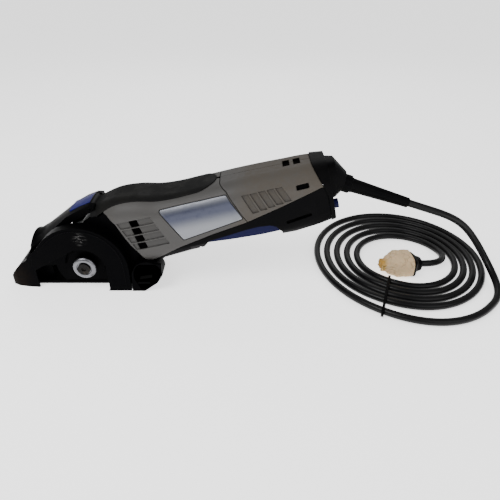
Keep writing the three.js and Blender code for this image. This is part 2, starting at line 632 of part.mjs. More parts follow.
// Cover on the right of the gear case: it closes the wheel chamber and holds the right bearing
const cover = { radius: 19, thick: 3, spigotEnd: 8 };
const lockButton = { offset: 13.65, turn: 170, pin: 1.4, pinLeft: 9.2, cap: 5, capGap: 2.9, capWide: 2.8,
  spring: 2.7, wire: 0.6, turns: 2 };
const lockAlong = lockButton.offset * Math.cos(radians(lockButton.turn));
const lockUp = lockButton.offset * Math.sin(radians(lockButton.turn));
const coverFace = gearRight + seat + cover.thick;
const coverBody = cut(
  join(
    rodY(0, 0, cover.radius, gearRight + seat, gearRight + seat + cover.thick),
    rodY(0, 0, gearCase.chamber, cover.spigotEnd, gearRight + seat * 2),
  ),
  rodY(0, 0, bearing.outer + seat, cover.spigotEnd - overrun, spindleSizes.bearingRight + bearing.wide + seat),
  rodY(0, 0, spindleSizes.radius + running, cover.spigotEnd - overrun, spindleSizes.right + running),
  rodY(lockAlong, lockUp, lockButton.pin + seat, cover.spigotEnd - overrun, coverFace + overrun, smallSteps),
);
place(tilted, 'gear_cover', coverBody, blackPlastic);

// Spindle lock: a sprung button on the cover, whose pin reaches down to the wheel
const capLeft = coverFace + lockButton.capGap;
place(tilted, 'spindle_lock_button', join(
  rodY(lockAlong, lockUp, lockButton.pin, lockButton.pinLeft, capLeft + seat, smallSteps),
  rodY(lockAlong, lockUp, lockButton.cap, capLeft, capLeft + lockButton.capWide, smallSteps),
), blackPlastic);
const lockSpring = tube(new Helix(lockButton.spring, lockButton.capGap - lockButton.wire - seat * 2,
  lockButton.turns), lockButton.wire / 2, lockButton.turns * 8, 5);
lockSpring.rotateX(-Math.PI / 2).translate(lockAlong, coverFace + seat + lockButton.wire / 2, lockUp);
place(tilted, 'lock_spring', toSolid(lockSpring), steel);

// Housing halves, with ribs for the field core, the rear bearing and the switch
const paddleLine = scaled([[0.4545, -0.104], [0.46, -0.068], [0.49, -0.06], [0.53, -0.058], [0.636, -0.02],
  [0.72, 0.004], [0.77, -0.016], [0.783, -0.09], [0.78, -0.244], [0.71, -0.25], [0.583, -0.22],
  [0.47, -0.172], [0.4565, -0.15]], bodyReach, bodyRise);
const paddleFront = paddleLine[0][0];
const trigger = { half: 13, pinBehind: 3.511, pinUp: -5.4, pinRadius: 1.3, side: 1, room: 8.3,
  boss: 3.4, bossWide: 4.5, frontRoom: 4.489, rearRoom: 2.014 };
trigger.pin = paddleFront + trigger.pinBehind;
trigger.slotFront = paddleFront - trigger.frontRoom;
trigger.slotRear = paddleLine[7][0] + trigger.rearRoom;
const rib = { thick: 2.4, core: 6, coreBack: 8, bearing: 1.5, bearingThick: 4, switchFront: 4, switchRear: 6,
  keyFront: 36, keyRear: 16 };
const switchBlock = { front: motorReach, long: 22, half: 9, low: 8.5, high: 25 };
switchBlock.rear = switchBlock.front + switchBlock.long;
const hexKey = { side: -12, up: 4, shaft: 2.3, long: 46, neck: 3.4, head: 4.4, headLong: 4.5 };
const keyRibFront = bodyReach - rib.keyFront;
const keyRibRear = bodyReach - rib.keyRear;
const ribSlab = (front, thick) => common(
  skin(shellWall / 2, true),
  block(front, front + thick, -bodyHalf, bodyHalf, -bodyRise, bodyRise * 2),
);
const ribs = [
  cut(
    join(
      ribSlab(motor.coreFront + rib.core, rib.thick),
      ribSlab(motor.coreRear - rib.coreBack, rib.thick),
    ),
    rodX(0, motor.up, motor.coreOuter + seat, motor.coreFront, motor.coreRear),
  ),
  cut(
    ribSlab(rearBearing + rib.bearing, rib.bearingThick),
    rodX(0, motor.up, bearing.outer + seat, rearBearing, rearBearing + bearing.wide),
  ),
  cut(
    join(ribSlab(switchBlock.front + rib.switchFront, rib.thick),
      ribSlab(switchBlock.rear - rib.switchRear, rib.thick)),
    block(switchBlock.front, switchBlock.rear, -switchBlock.half - seat, switchBlock.half + seat,
      switchBlock.low - seat, switchBlock.high + seat),
  ),
  cut(
    join(ribSlab(keyRibFront, rib.thick), ribSlab(keyRibRear, rib.thick)),
    rodX(hexKey.side, hexKey.up, hexKey.shaft + running, keyRibFront - overrun, keyRibRear + overrun, smallSteps),
    rodX(0, motor.up, bearing.outer, keyRibFront - overrun, keyRibRear + overrun),
  ),
];

// The belly over the trigger is drawn up and has a floor of its own, with a slot for the paddle
const bellyLine = scaled([[0.43, -0.186], [0.487, -0.1], [0.51, 0.02], [0.577, 0.056], [0.66, 0.1], [0.707, 0.108],
  [0.752, 0.085], [0.774, 0.03], [0.7913, -0.12]], bodyReach, bodyRise);
const bellyEnd = bellyLine.at(-1)[0];
const bellyCut = prismY([...bellyLine, [bellyEnd, -bodyRise], [bellyLine[0][0], -bodyRise]],
  -bodyHalf * 2, bodyHalf * 2);
const bellyFloor = common(
  prismY([...bellyLine, [bellyEnd + shellWall, -bodyDrop], [bellyEnd + shellWall, bellyLine.at(-2)[1]],
    ...shifted(bellyLine.slice(0, -1).reverse(), 0, shellWall)], -bodyHalf, bodyHalf),
  housing,
);
const pinBoss = block(trigger.pin - trigger.boss, trigger.pin + trigger.boss, -trigger.half - trigger.bossWide,
  trigger.half + trigger.bossWide, trigger.pinUp - trigger.boss, trigger.pinUp + trigger.boss);
const triggerRoom = block(trigger.slotFront, trigger.slotRear, -trigger.half - trigger.side,
  trigger.half + trigger.side, -bodyRise, trigger.room);
const ribbedShell = cut(
  join(cut(join(shell, ...ribs), bellyCut), bellyFloor, pinBoss),
  triggerRoom,
  rodY(pivotAlong, pivotUp, lugClearance, -bodyHalf, bodyHalf),
  rodY(trigger.pin, trigger.pinUp, trigger.pinRadius + seat, -bodyHalf, bodyHalf, smallSteps),
);

// Case screws come in from the right and end in the left half
const caseScrew = { radius: 1.5, head: 2.9, headHigh: 1.8, boss: 4, leftEnd: -21, deep: 3.4,
  places: scaled([[0.56, 0.8], [0.79, 0.78], [0.89, 0.3]], bodyReach, bodyRise) };
const sideSurface = bodyHalf * 0.93;
const headRightSide = sideSurface - caseScrew.deep;
const bosses = caseScrew.places.map(([along, up]) => common(
  rodY(along, up, caseScrew.boss, -bodyHalf, bodyHalf, smallSteps), skin(shellWall / 2, true)));
const screwHoles = caseScrew.places.flatMap(([along, up]) => [
  rodY(along, up, caseScrew.radius + seat, caseScrew.leftEnd - seat, bodyHalf, smallSteps),
  rodY(along, up, caseScrew.head + seat, headRightSide - caseScrew.headHigh - seat, bodyHalf * 2, smallSteps),
]);
const finishedShell = cut(join(ribbedShell, ...bosses), ...screwHoles);
caseScrew.places.forEach(([along, up], i) => {
  place(tilted, `housing_screw_${i + 1}`, join(
    rodY(along, up, caseScrew.radius, caseScrew.leftEnd, headRightSide - running, smallSteps),
    rodY(along, up, caseScrew.head, headRightSide - caseScrew.headHigh, headRightSide, smallSteps),
  ), steel);
});

const leftSide = block(-bodyReach, bodyReach * 2, -bodyHalf * 2, -seat / 2, -bodyRise * 2, bodyRise * 2);
const rightSide = block(-bodyReach, bodyReach * 2, seat / 2, bodyHalf * 2, -bodyRise * 2, bodyRise * 2);
const frontShell = cut(common(finishedShell, frontRegion), gripHole, ...frontGrooves, ...frontHoles);
place(tilted, 'front_housing_left', cut(common(frontShell, leftSide), plateRecess), greyPlastic);
place(tilted, 'front_housing_right', common(frontShell, rightSide), greyPlastic);
const rearShell = cut(common(finishedShell, rearRegion), ...rearGrooves, ...topHoles, ovalSlot);
place(tilted, 'rear_cover_left', common(rearShell, leftSide), greyPlastic);
place(tilted, 'rear_cover_right', common(rearShell, rightSide), greyPlastic);
const lowerShell = cut(common(finishedShell, lowerRegion), lowSlot);
place(tilted, 'underbody_left', common(lowerShell, leftSide), blackPlastic);
place(tilted, 'underbody_right', common(lowerShell, rightSide), blackPlastic);

place(tilted, 'switch_block', block(switchBlock.front, switchBlock.rear, -switchBlock.half, switchBlock.half,
  switchBlock.low, switchBlock.high), blackPlastic);

// Tail cap: a collar round the rear edge of the housing, a wall, and the boss that the cord leaves by
const exit = { behind: 11.7, up: 18.3, drop: 31.5, radius: 11, flange: 8.6, flangeLong: 8, groove: 7.4,
  bootFront: 6.7, bootRear: 4.9, bootLong: 60 };
exit.along = bodyReach + exit.behind;
const tailProud = 1;
function bossRing({ along, up, halfHigh, halfWide, lean, squareness }) {
  return Array.from({ length: roundSteps }, (_, i) => {
    const angle = i * 2 * Math.PI / roundSteps;
    const bulge = value => Math.sign(value) * Math.abs(value) ** squareness;
    const rise = halfHigh * bulge(Math.sin(angle));
    return [along + rise * Math.sin(radians(lean)), halfWide * bulge(Math.cos(angle)),
      up + rise * Math.cos(radians(lean))];
  });
}
const bossSections = [
  { along: bodyReach - shellWall, up: 26.4, halfHigh: 18.4, halfWide: 18, lean: 0, squareness: 0.55 },
  { along: bodyReach + overrun * 0.9, up: 25.6, halfHigh: 17.8, halfWide: 15.5, lean: 7, squareness: 0.65 },
  { along: exit.along, up: exit.up, halfHigh: exit.radius, halfWide: exit.radius, lean: exit.drop, squareness: 1 },
];
const tailBoss = loft(bossSections.map(bossRing));
const tailBody = cut(
  join(common(skin(-tailProud, false), tailRegion), tailBoss),
  common(hollow, block(0, bodyReach - shellWall, -bodyHalf, bodyHalf, -bodyRise, bodyRise)),
  rodX(hexKey.side, hexKey.up, hexKey.neck + running, bodyReach - overrun, bodyReach + overrun, smallSteps),
);
place(tilted, 'tail_cap', tailBody, blackPlastic);
const bootStart = seat;
const bootProfile = [
  [0, bootStart], [exit.flange, bootStart], [exit.flange, bootStart + exit.flangeLong],
  [exit.groove, bootStart + exit.flangeLong], [exit.bootFront, bootStart + exit.flangeLong * 1.4],
  [exit.bootRear, bootStart + exit.flangeLong + exit.bootLong], [0, bootStart + exit.flangeLong + exit.bootLong],
];
const bootGeometry = new THREE.LatheGeometry(bootProfile.map(([r, d]) => new THREE.Vector2(r, d)), smallSteps);
bootGeometry.rotateZ(-Math.PI / 2).rotateY(radians(exit.drop)).translate(exit.along, 0, exit.up);
place(tilted, 'cord_boot', toSolid(bootGeometry), cordRubber);

// Stored hex key, whose blue end stands out of the rear wall
place(tilted, 'hex_key', join(
  rodX(hexKey.side, hexKey.up, hexKey.shaft, bodyReach - hexKey.long, bodyReach, 6),
  rodX(hexKey.side, hexKey.up, hexKey.neck, bodyReach - shellWall * 2, bodyReach + seat * 2, smallSteps),
  rodX(hexKey.side, hexKey.up, hexKey.head, bodyReach + seat, bodyReach + seat + hexKey.headLong, smallSteps),
), bluePlastic);

// Trigger: a long paddle under the housing, hinged at its front end, with the lock-off lever in a slot
const lockOff = { behind: 3, up: -4.5, side: -6, half: 2.6, eye: 2.4, nub: 2, nubLean: 4, nubUp: -14,
  room: 2.1, swingRoom: 6.6, pin: 0.9 };
lockOff.along = switchBlock.front + lockOff.behind;
lockOff.nubAlong = lockOff.along + lockOff.nubLean;
lockOff.slotHalf = lockOff.half + running;
const paddle = cut(
  prismY(paddleLine, -trigger.half, trigger.half),
  rodY(trigger.pin, trigger.pinUp, trigger.pinRadius + seat, -bodyHalf, bodyHalf, smallSteps),
  block(lockOff.along - lockOff.eye - lockOff.room, lockOff.along + lockOff.eye + lockOff.swingRoom,
    lockOff.side - lockOff.slotHalf, lockOff.side + lockOff.slotHalf,
    -bodyRise, lockOff.up + lockOff.eye + running),
);
place(tilted, 'trigger', paddle, bluePlastic);
place(tilted, 'trigger_pin', rodY(trigger.pin, trigger.pinUp, trigger.pinRadius,
  -trigger.half - trigger.bossWide, trigger.half + trigger.bossWide, smallSteps), steel);
place(tilted, 'lock_off', join(
  rodY(lockOff.along, lockOff.up, lockOff.eye, lockOff.side - lockOff.half, lockOff.side + lockOff.half, smallSteps),
  prismY([[lockOff.along - lockOff.eye, lockOff.up], [lockOff.nubAlong - lockOff.nub, lockOff.nubUp],
    [lockOff.nubAlong + lockOff.nub, lockOff.nubUp], [lockOff.along + lockOff.eye, lockOff.up]],
  lockOff.side - lockOff.half, lockOff.side + lockOff.half),
), blackPlastic);
const triggerSpring = { behind: 10.2, radius: 2.6, wire: 0.8, turns: 5, side: 4, low: 0.9 };
const triggerSpringHigh = switchBlock.low - triggerSpring.low - seat - triggerSpring.wire;
const springTube = tube(new Helix(triggerSpring.radius, triggerSpringHigh, triggerSpring.turns),
  triggerSpring.wire / 2, triggerSpring.turns * 8, 5);
springTube.translate(switchBlock.front + triggerSpring.behind, triggerSpring.side,
  triggerSpring.low + triggerSpring.wire / 2);
place(tilted, 'trigger_spring', toSolid(springTube), steel);

// Blade guard, fixed to the gear case: front plate with the blade window, rim and back plate
const guard = { x: -1.5, radius: 44.5, left: -33, right: -20.8, frontPlate: 2, backPlate: 2, rim: 2.2,
  window: 22, backHole: 20.2, skirtFront: 20.8, skirtLow: 0.4 };
const guardTop = spindleHeight;
const guardFront = scaled([[-1.056, 0.9], [-1.09, 0.5]], guard.radius, guard.radius);
const guardEdge = inset => [
  [guard.x + guard.radius - inset, guard.skirtLow],
  ...arc(guard.x, guardTop, guard.radius - inset, 0, 134, 16),
  [guardFront[0][0] + inset * 0.4, guardFront[0][1] - inset],
  guardFront[1],
];
const guardWindow = [
  ...arc(0, guardTop, guard.window, 124, 0, 12),
  [guard.window, guard.skirtLow + guard.rim],
  [guard.skirtFront, guard.skirtLow],
];
const guardPlate = prismY([...guardEdge(0), ...guardWindow], guard.left, guard.left + guard.frontPlate);
const guardWall = cut(
  prismY([...guardEdge(0), ...guardWindow], guard.left, guard.right),
  prismY([[guard.x + guard.radius - guard.rim, -overrun], ...guardEdge(guard.rim).slice(1, -1),
    [guardFront[1][0] - overrun, guardFront[1][1]], [guardFront[1][0] - overrun, -overrun]],
  guard.left + guard.frontPlate, guard.right + overrun),
);
const guardBack = cut(
  prismY([...guardEdge(0), [-guard.backHole, guardTop], [0, guardTop], [guard.backHole, guardTop],
    [guard.window, guard.skirtLow]], guard.right - guard.backPlate, guard.right),
  rodY(0, guardTop, guard.backHole, guard.left, guard.right + overrun),
);
const guardBackLeft = guard.right - guard.backPlate;
place(standing, 'blade_guard', cut(join(guardPlate, guardWall, guardBack),
  ...guardScrewPlaces.map(([along, up]) => rodY(...toStanding(along, up), guardScrew.radius + seat,
    guardBackLeft - overrun / 2, guard.right + overrun, smallSteps)),
), blackPlastic);
guardScrewPlaces.forEach(([x, z], i) => {
  place(tilted, `guard_screw_${i + 1}`, join(
    rodY(x, z, guardScrew.radius, guardBackLeft - seat * 2, gearLeft + guardScrew.deep, smallSteps),
    rodY(x, z, guardScrew.head, guardBackLeft - seat - guardScrew.headHigh, guardBackLeft - seat, smallSteps),
  ), steel);
});

// Foot: base plate, pointed nose, front arm and the heel that carries the pivot
const noseOuter = scaled([[-1.0, 0.085], [-0.98, 0.12], [-0.946, 0.169], [-0.889, 0.23], [-0.809, 0.321],
  [-0.757, 0.385], [-0.719, 0.437], [-0.701, 0.484], [-0.65, 0.56]], foot.noseReach, foot.armHigh);
const noseSide = [[-foot.noseReach * 0.985, 0], ...noseOuter, [foot.noseBack, armOuter[0][1]], [foot.noseBack, 0]];
const nosePlan = scaled([[-0.62, -1.1], [-0.76, -1.04], [-0.9, -0.9], [-0.985, -0.66], [-1.02, -0.4],
  [-1.0, 0.0], [-0.9, 0.5], [-0.78, 0.85], [-0.62, 1.0]], foot.noseReach, foot.plateRight);
const noseHollowSide = [[-foot.noseReach + foot.wall * 2.2, -overrun],
  ...shifted(noseOuter.slice(1), foot.wall, -foot.wall), [foot.noseBack + overrun, armOuter[0][1] - foot.wall],
  [foot.noseBack + overrun, -overrun]];
const noseHollowPlan = nosePlan.map(([x, y]) => [x + foot.wall, y * 0.9]);
noseHollowPlan[0][0] += overrun * 2;
noseHollowPlan[noseHollowPlan.length - 1][0] += overrun * 2;
// In front view its far side leans in, up to the width of the arm
const noseFront = [[heel.left, -overrun], [foot.plateRight, -overrun], [foot.plateRight, foot.noseUpright],
  [foot.armHalf, armOuter[0][1]], [heel.left, armOuter[0][1]]];
const nose = cut(
  common(prismY(noseSide, heel.left, foot.plateRight), prismZ(nosePlan, 0, foot.armHigh),
    prismX(noseFront, -foot.noseReach - overrun, foot.noseBack)),
  common(prismY(noseHollowSide, heel.left, foot.plateRight), prismZ(noseHollowPlan, -overrun, foot.armHigh),
    prismX(noseFront.map(([y, z]) => [y * 0.9, z]), -foot.noseReach, foot.noseBack + overrun)),
);
const armBand = prismY([...armOuter, ...armInner, [foot.noseBack - foot.wall, armInner[5][1]],
  [foot.noseBack - foot.wall, armOuter[0][1]]], -foot.armHalf, foot.armHalf);
const armHollow = prismY([
  ...shifted(armOuter, 0, -foot.armThick), [armInner[0][0] + overrun, armInner[0][1] - overrun * 2],
  ...shifted(armInner, 0, -overrun * 2), [foot.noseBack - foot.wall, -overrun],
  [foot.noseBack - foot.wall, armOuter[0][1] - foot.armThick],
], foot.flank - foot.armHalf, foot.armHalf - foot.flank);
const lever = { frontShare: -0.135, rearShare: 0.135, half: 11, thick: 3.6, room: 0.5, pinShare: 0.15, pinDrop: 3.4,
  pin: 1.3, cam: 3.2, groove: 0.8 };
const leverFront = [lever.frontShare * foot.noseReach, foot.armHigh * 0.9];
const leverRear = [lever.rearShare * foot.noseReach, foot.armHigh * 1.008];
const leverPin = [lever.pinShare * foot.noseReach, foot.armHigh - lever.pinDrop];
const leverWindow = block(leverFront[0] - lever.room, armInner[0][0] + overrun,
  -lever.half - lever.room, lever.half + lever.room, foot.armHigh / 2, foot.armHigh * 1.5);
const heelOutline = [...heel.front, ...arc(pivot.x, pivot.z, pivot.lug, 0, 140, 10), heel.top];
const heelBlock = cut(
  prismY(heelOutline, heel.left, heel.right),
  prismY([[heel.roomFront, foot.plate], [pivot.x, foot.plate], [heel.roomRear, foot.plate * 3],
    [heel.roomRear, heel.roomTop], [heel.roomFront, heel.roomTop]],
  heel.tongueLeft - running, heel.slotRight + running),
  block(heel.dent.front, heel.dent.rear, heel.left - overrun, heel.left + heel.dent.deep,
    heel.dent.low, heel.dent.high),
);
const footBody = cut(
  join(
    nose,
    cut(armBand, armHollow, leverWindow),
    block(foot.plateFront, heel.plateRear, foot.plateLeft, foot.plateRight, 0, foot.plate),
    heelBlock,
  ),
  rodY(pivot.x, pivot.z, pivot.pin + seat, heel.left + foot.wall, heel.right + overrun, smallSteps),
  rodY(leverPin[0], leverPin[1], lever.pin + seat, -foot.armHalf - overrun, foot.armHalf + overrun, smallSteps),
);
place(standing, 'foot', footBody, blackPlastic);
place(standing, 'foot_pin', rodY(pivot.x, pivot.z, pivot.pin, heel.left + foot.wall + seat, heel.right,
  smallSteps), steel);
const footSpring = { radius: 5.2, wire: 1.5, turns: 2 };
const footSpringTube = tube(new Helix(footSpring.radius,
  heel.slotRight - heel.tongueRight - footSpring.wire - seat * 2, footSpring.turns), footSpring.wire / 2,
footSpring.turns * 10, 6);
footSpringTube.rotateX(-Math.PI / 2).translate(pivot.x, heel.tongueRight + seat + footSpring.wire / 2, pivot.z);
place(standing, 'foot_spring', toSolid(footSpringTube), steel);

// Depth lever on the arm, lifted to free the foot
const leverSlope = Math.atan2(leverRear[1] - leverFront[1], leverRear[0] - leverFront[0]);
const leverShift = [Math.sin(leverSlope) * lever.thick, -Math.cos(leverSlope) * lever.thick];
place(standing, 'depth_lever', cut(
  join(
    prismY([leverFront, leverRear, [leverRear[0] + leverShift[0], leverRear[1] + leverShift[1]],
      [leverFront[0] + leverShift[0], leverFront[1] + leverShift[1]]], -lever.half, lever.half),
    rodY(leverPin[0], leverPin[1], lever.cam, -lever.half, lever.half, smallSteps),
  ),
  rodY(leverPin[0], leverPin[1], lever.pin + seat, -bodyHalf, bodyHalf, smallSteps),
), bluePlastic);
place(standing, 'lever_pin', rodY(leverPin[0], leverPin[1], lever.pin, -foot.armHalf, foot.armHalf,
  smallSteps), steel);

// Cord: a free lead from the boot, a loose coil on the floor, and a tail that rises into the plug
const cord = { radius: 3.5, sides: 10, coilSides: 6, loopSteps: 24 };
const leadPoints = [
  [307.9, 0, 79.03], [320, 0.1, 75], [332.4, 0.7, 70.7], [343.4, 1.9, 66.5], [353.9, 3.7, 61.5], [363.7, 5.6, 55.4],
  [372.8, 6.8, 47.9], [380.8, 6.6, 39.3], [387.7, 3.8, 30.2], [393.1, -2, 21.6], [396.7, -10.5, 14.4],
  [398.3, -20.9, 9.1], [397.6, -32.2, 5.8], [394, -43.2, 4.1], [387.7, -53.1, 3.5], [379.6, -61.6, 3.5],
];
const tailPoints = [
  [360.51, 44.26, 3.5], [362.48, 39.55, 3.62], [363.7, 34.61, 3.96], [364.04, 29.52, 4.48], [363.47, 24.46, 5.12],
  [362.01, 19.57, 5.85], [359.7, 15.03, 6.62], [356.63, 10.96, 7.4], [352.89, 7.5, 8.13], [348.59, 4.77, 8.77],
  [343.87, 2.83, 9.29], [338.89, 1.77, 9.63], [333.8, 1.4, 9.75],
];
const curveOf = points => new THREE.CatmullRomCurve3(
  points.map(point => new THREE.Vector3(...point)), false, 'centripetal');
place(cordGroup, 'cord_lead', toSolid(tube(curveOf(leadPoints), cord.radius, 26, cord.sides)), cordRubber);
place(cordGroup, 'cord_tail', toSolid(tube(curveOf(tailPoints), cord.radius, 12, cord.sides)), cordRubber);

// The coil spirals inwards, its loops closest on the near right and fanned out on the far left
const coil = { x: 317, y: 27, halfX: 90, halfY: 102, turns: 4.8, start: -50, narrow: 8.2, wide: 11, narrowAt: -45,
  round: 2.2, stray: 14, strayShare: 0.5, strayTurns: 0.35, liftSharp: 10 };
const tie = { angle: -115, thick: 0.8, wide: 2.4, slack: 0.7, endSlack: 1.5 };
class CoilPath extends THREE.Curve {
  getPoint(t, target = new THREE.Vector3()) {
    const turn = t * coil.turns;
    const angle = radians(coil.start) - turn * 2 * Math.PI;
    const spread = (1 - Math.cos(angle - radians(coil.narrowAt))) / 2;
    const pitch = coil.narrow + (coil.wide - coil.narrow) * spread;
    const fade = Math.max(0, 1 - turn / coil.strayTurns);
    const stray = coil.stray * fade * fade * (3 - 2 * fade);
    const halfX = coil.halfX - turn * pitch + stray * coil.strayShare;
    const halfY = coil.halfY - turn * (pitch + coil.round) + stray;
    const underTie = Math.max(0, Math.cos(angle - radians(tie.angle))) ** coil.liftSharp;
    return target.set(coil.x + halfX * Math.cos(angle), coil.y + halfY * Math.sin(angle),
      cord.radius + (tie.thick + tie.slack / 2) * underTie);
  }
}
const coilPath = new CoilPath();
const coilSteps = Math.round(coil.turns * cord.loopSteps);
place(cordGroup, 'cord_coil', toSolid(tube(coilPath, cord.radius, coilSteps, cord.coilSides)), cordRubber);

// Least gap of the coil's tube to itself, measured on points of its path more than half a loop apart
const coilPoints = coilPath.getSpacedPoints(coilSteps * 4);
const apart = coilSteps * 4 / coil.turns / 2;
let leastGap = Infinity;
coilPoints.forEach((a, i) => {
  for (let j = i + Math.ceil(apart); j < coilPoints.length; j += 1) {
    leastGap = Math.min(leastGap, a.distanceTo(coilPoints[j]) - 2 * cord.radius);
  }
});
console.log(`least gap of the coil to itself: ${leastGap.toFixed(2)} mm`);

// Wire tie round the strands on the near left, a flat band standing across them
const crossing = index => coilPath.getPoint(((coil.start - tie.angle) / 360 + index) / coil.turns);
const [tieFar, tieNear] = [crossing(0), crossing(Math.floor(coil.turns))];
const tieMiddle = tieFar.clone().add(tieNear).divideScalar(2);
const tieHalf = tieFar.distanceTo(tieNear) / 2 + cord.radius + tie.thick + tie.slack + tie.endSlack;
const tieHigh = cord.radius * 2 + tie.thick * 2 + tie.slack;
function tieLoop(inset) {
  const [half, radius] = [tieHalf - inset, tieHigh / 2 - inset];
  return [
    ...arc(half - radius, tieHigh / 2, radius, -90, 90, 6),
    ...arc(radius - half, tieHigh / 2, radius, 90, 270, 6),
  ];
}
const tieMesh = place(cordGroup, 'cord_tie', cut(prismY(tieLoop(0), -tie.wide / 2, tie.wide / 2),
  prismY(tieLoop(tie.thick), -tie.wide, tie.wide)), blackPlastic);
tieMesh.position.set(tieMiddle.x, tieMiddle.y, 0);
tieMesh.rotation.z = Math.atan2(tieNear.y - tieFar.y, tieNear.x - tieFar.x);

// Plug lying inside the coil, its prongs in a folded paper sleeve
const plug = { x: 333.4, y: 1.4, turn: 183, up: 9.75, length: 28, half: 12, high: 8.6, neck: 5.4, neckLong: 9,
  prongLong: 14, prongHigh: 6.3, prongThick: 1.5, prongGap: 6.35, sleeveStart: 12, sleeveEnd: 43, sleeveHalf: 12.8,
  sleeveHigh: 19.4, sleeveWall: 0.8 };
const plugGroup = new THREE.Group();
plugGroup.position.set(plug.x, plug.y, 0);
plugGroup.rotation.z = radians(plug.turn);
cordGroup.add(plugGroup);
const plugBody = common(
  prismZ([[0, -plug.neck], [plug.neckLong * 0.6, -plug.neck], [plug.neckLong, -plug.half],
    [plug.length, -plug.half], [plug.length, plug.half], [plug.neckLong, plug.half],
    [plug.neckLong * 0.6, plug.neck], [0, plug.neck]], 0, plug.up * 2),
  prismY([[0, plug.up - plug.neck], [plug.neckLong, plug.up - plug.high], [plug.length, plug.up - plug.high],
    [plug.length, plug.up + plug.high], [plug.neckLong, plug.up + plug.high], [0, plug.up + plug.neck]],
  -plug.half, plug.half),
);
place(plugGroup, 'plug_body', plugBody, blackPlastic);
[-1, 1].forEach((side, i) => {
  const middle = side * plug.prongGap;
  place(plugGroup, `plug_prong_${i + 1}`, block(plug.length + seat, plug.length + plug.prongLong,
    middle - plug.prongThick / 2, middle + plug.prongThick / 2, plug.up - plug.prongHigh / 2,
    plug.up + plug.prongHigh / 2), brass);
});
place(plugGroup, 'plug_wrap', cut(
  block(plug.sleeveStart, plug.sleeveEnd, -plug.sleeveHalf, plug.sleeveHalf, 0, plug.sleeveHigh),
  block(plug.sleeveStart - overrun, plug.sleeveEnd + overrun, plug.sleeveWall - plug.sleeveHalf,
    plug.sleeveHalf - plug.sleeveWall, plug.sleeveWall, plug.sleeveHigh - plug.sleeveWall),
), paper);

// The origin lies on the floor under the middle of the saw, its cord left out
const extent = new THREE.Box3();
saw.updateMatrixWorld(true);
[standing, tilted].forEach(group => group.traverse(item => {
  if (item.isMesh && item.name !== 'cord_boot') extent.expandByObject(item, true);
}));
saw.position.set(-(extent.min.x + extent.max.x) / 2, -(extent.min.y + extent.max.y) / 2, 0);

export default saw;
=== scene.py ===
"""Compact circular saw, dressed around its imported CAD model.

Shapes are worked out in millimetres, in one of two frames: standing, with z = 0 on the floor, and
tilted, which is the motor housing's own frame, turned about the blade spindle. Both become metres
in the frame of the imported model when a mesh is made.
"""
from __future__ import annotations

import json
import logging
import math
from dataclasses import dataclass, field
from enum import Enum
from typing import Callable, Sequence

import bmesh
import bpy
import numpy as np
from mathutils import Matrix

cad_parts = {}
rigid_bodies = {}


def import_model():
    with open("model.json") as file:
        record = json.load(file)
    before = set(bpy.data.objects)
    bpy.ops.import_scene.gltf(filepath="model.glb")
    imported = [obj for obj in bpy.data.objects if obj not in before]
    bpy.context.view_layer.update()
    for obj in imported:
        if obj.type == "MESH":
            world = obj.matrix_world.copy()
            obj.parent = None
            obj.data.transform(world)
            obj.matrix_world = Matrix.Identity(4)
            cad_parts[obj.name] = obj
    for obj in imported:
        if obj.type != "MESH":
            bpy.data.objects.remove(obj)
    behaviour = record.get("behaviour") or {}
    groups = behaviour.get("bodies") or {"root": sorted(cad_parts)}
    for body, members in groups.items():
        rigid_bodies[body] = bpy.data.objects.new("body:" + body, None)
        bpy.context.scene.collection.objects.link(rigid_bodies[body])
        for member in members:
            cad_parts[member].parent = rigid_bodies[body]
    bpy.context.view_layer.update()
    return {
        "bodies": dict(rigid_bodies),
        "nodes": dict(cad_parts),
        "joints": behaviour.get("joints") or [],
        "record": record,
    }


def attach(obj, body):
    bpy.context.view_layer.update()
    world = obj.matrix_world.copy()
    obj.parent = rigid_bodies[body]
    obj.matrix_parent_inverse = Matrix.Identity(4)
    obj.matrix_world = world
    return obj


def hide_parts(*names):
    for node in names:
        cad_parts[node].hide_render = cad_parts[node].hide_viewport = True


LOG = logging.getLogger("saw")
MM = 0.001
# Name of the point attribute that holds the painted shade of a panel's grooves
GROOVE_SHADE_ATTRIBUTE = "pressed"
SIDES = ((-1, "left"), (1, "right"))

# How a copied solid is cleaned: in metres, and for the angle in radians
COPY_WELD = 2e-6
CUT_REACH = 1e-6
FLAT_ANGLE = math.radians(1.2)

# A place in metres that is beyond every point of the saw
FAR = 9.0

# Where the soft wall of a groove starts and ends, in millimetres inside its outline
SOFT_WALL = (-0.1, 0.3)

Array = np.ndarray
Field = Callable[[Array, Array, Array], Array]
Outline = Sequence[Sequence[float]]
Item = bpy.types.Object
Material = bpy.types.Material


class Frame(Enum):
    """The frame that a piece's millimetres are given in."""

    STANDING = "standing"
    TILTED = "tilted"


@dataclass(frozen=True)
class Stance:
    """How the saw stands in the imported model's frame."""

    spindle_height: float = 24.3
    tilt: float = 13.3
    shift: float = -84.31

    def metres(self, points: Array, frame: Frame) -> Array:
        """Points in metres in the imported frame.

        Args:
            points: an array whose last axis is x, y, z in millimetres.
            frame: the frame that the points are given in.

        Returns:
            The same points in metres. A tilted point is turned about the spindle axis by the tilt.
        """
        x, y, z = np.moveaxis(np.asarray(points, float), -1, 0)
        if frame is Frame.TILTED:
            cos, sin = math.cos(math.radians(self.tilt)), math.sin(math.radians(self.tilt))
            x, z = x * cos - z * sin, self.spindle_height + x * sin + z * cos
        return np.stack([x + self.shift, y, z], axis=-1) * MM


STANCE = Stance()


# Curves, outlines and grids of faces


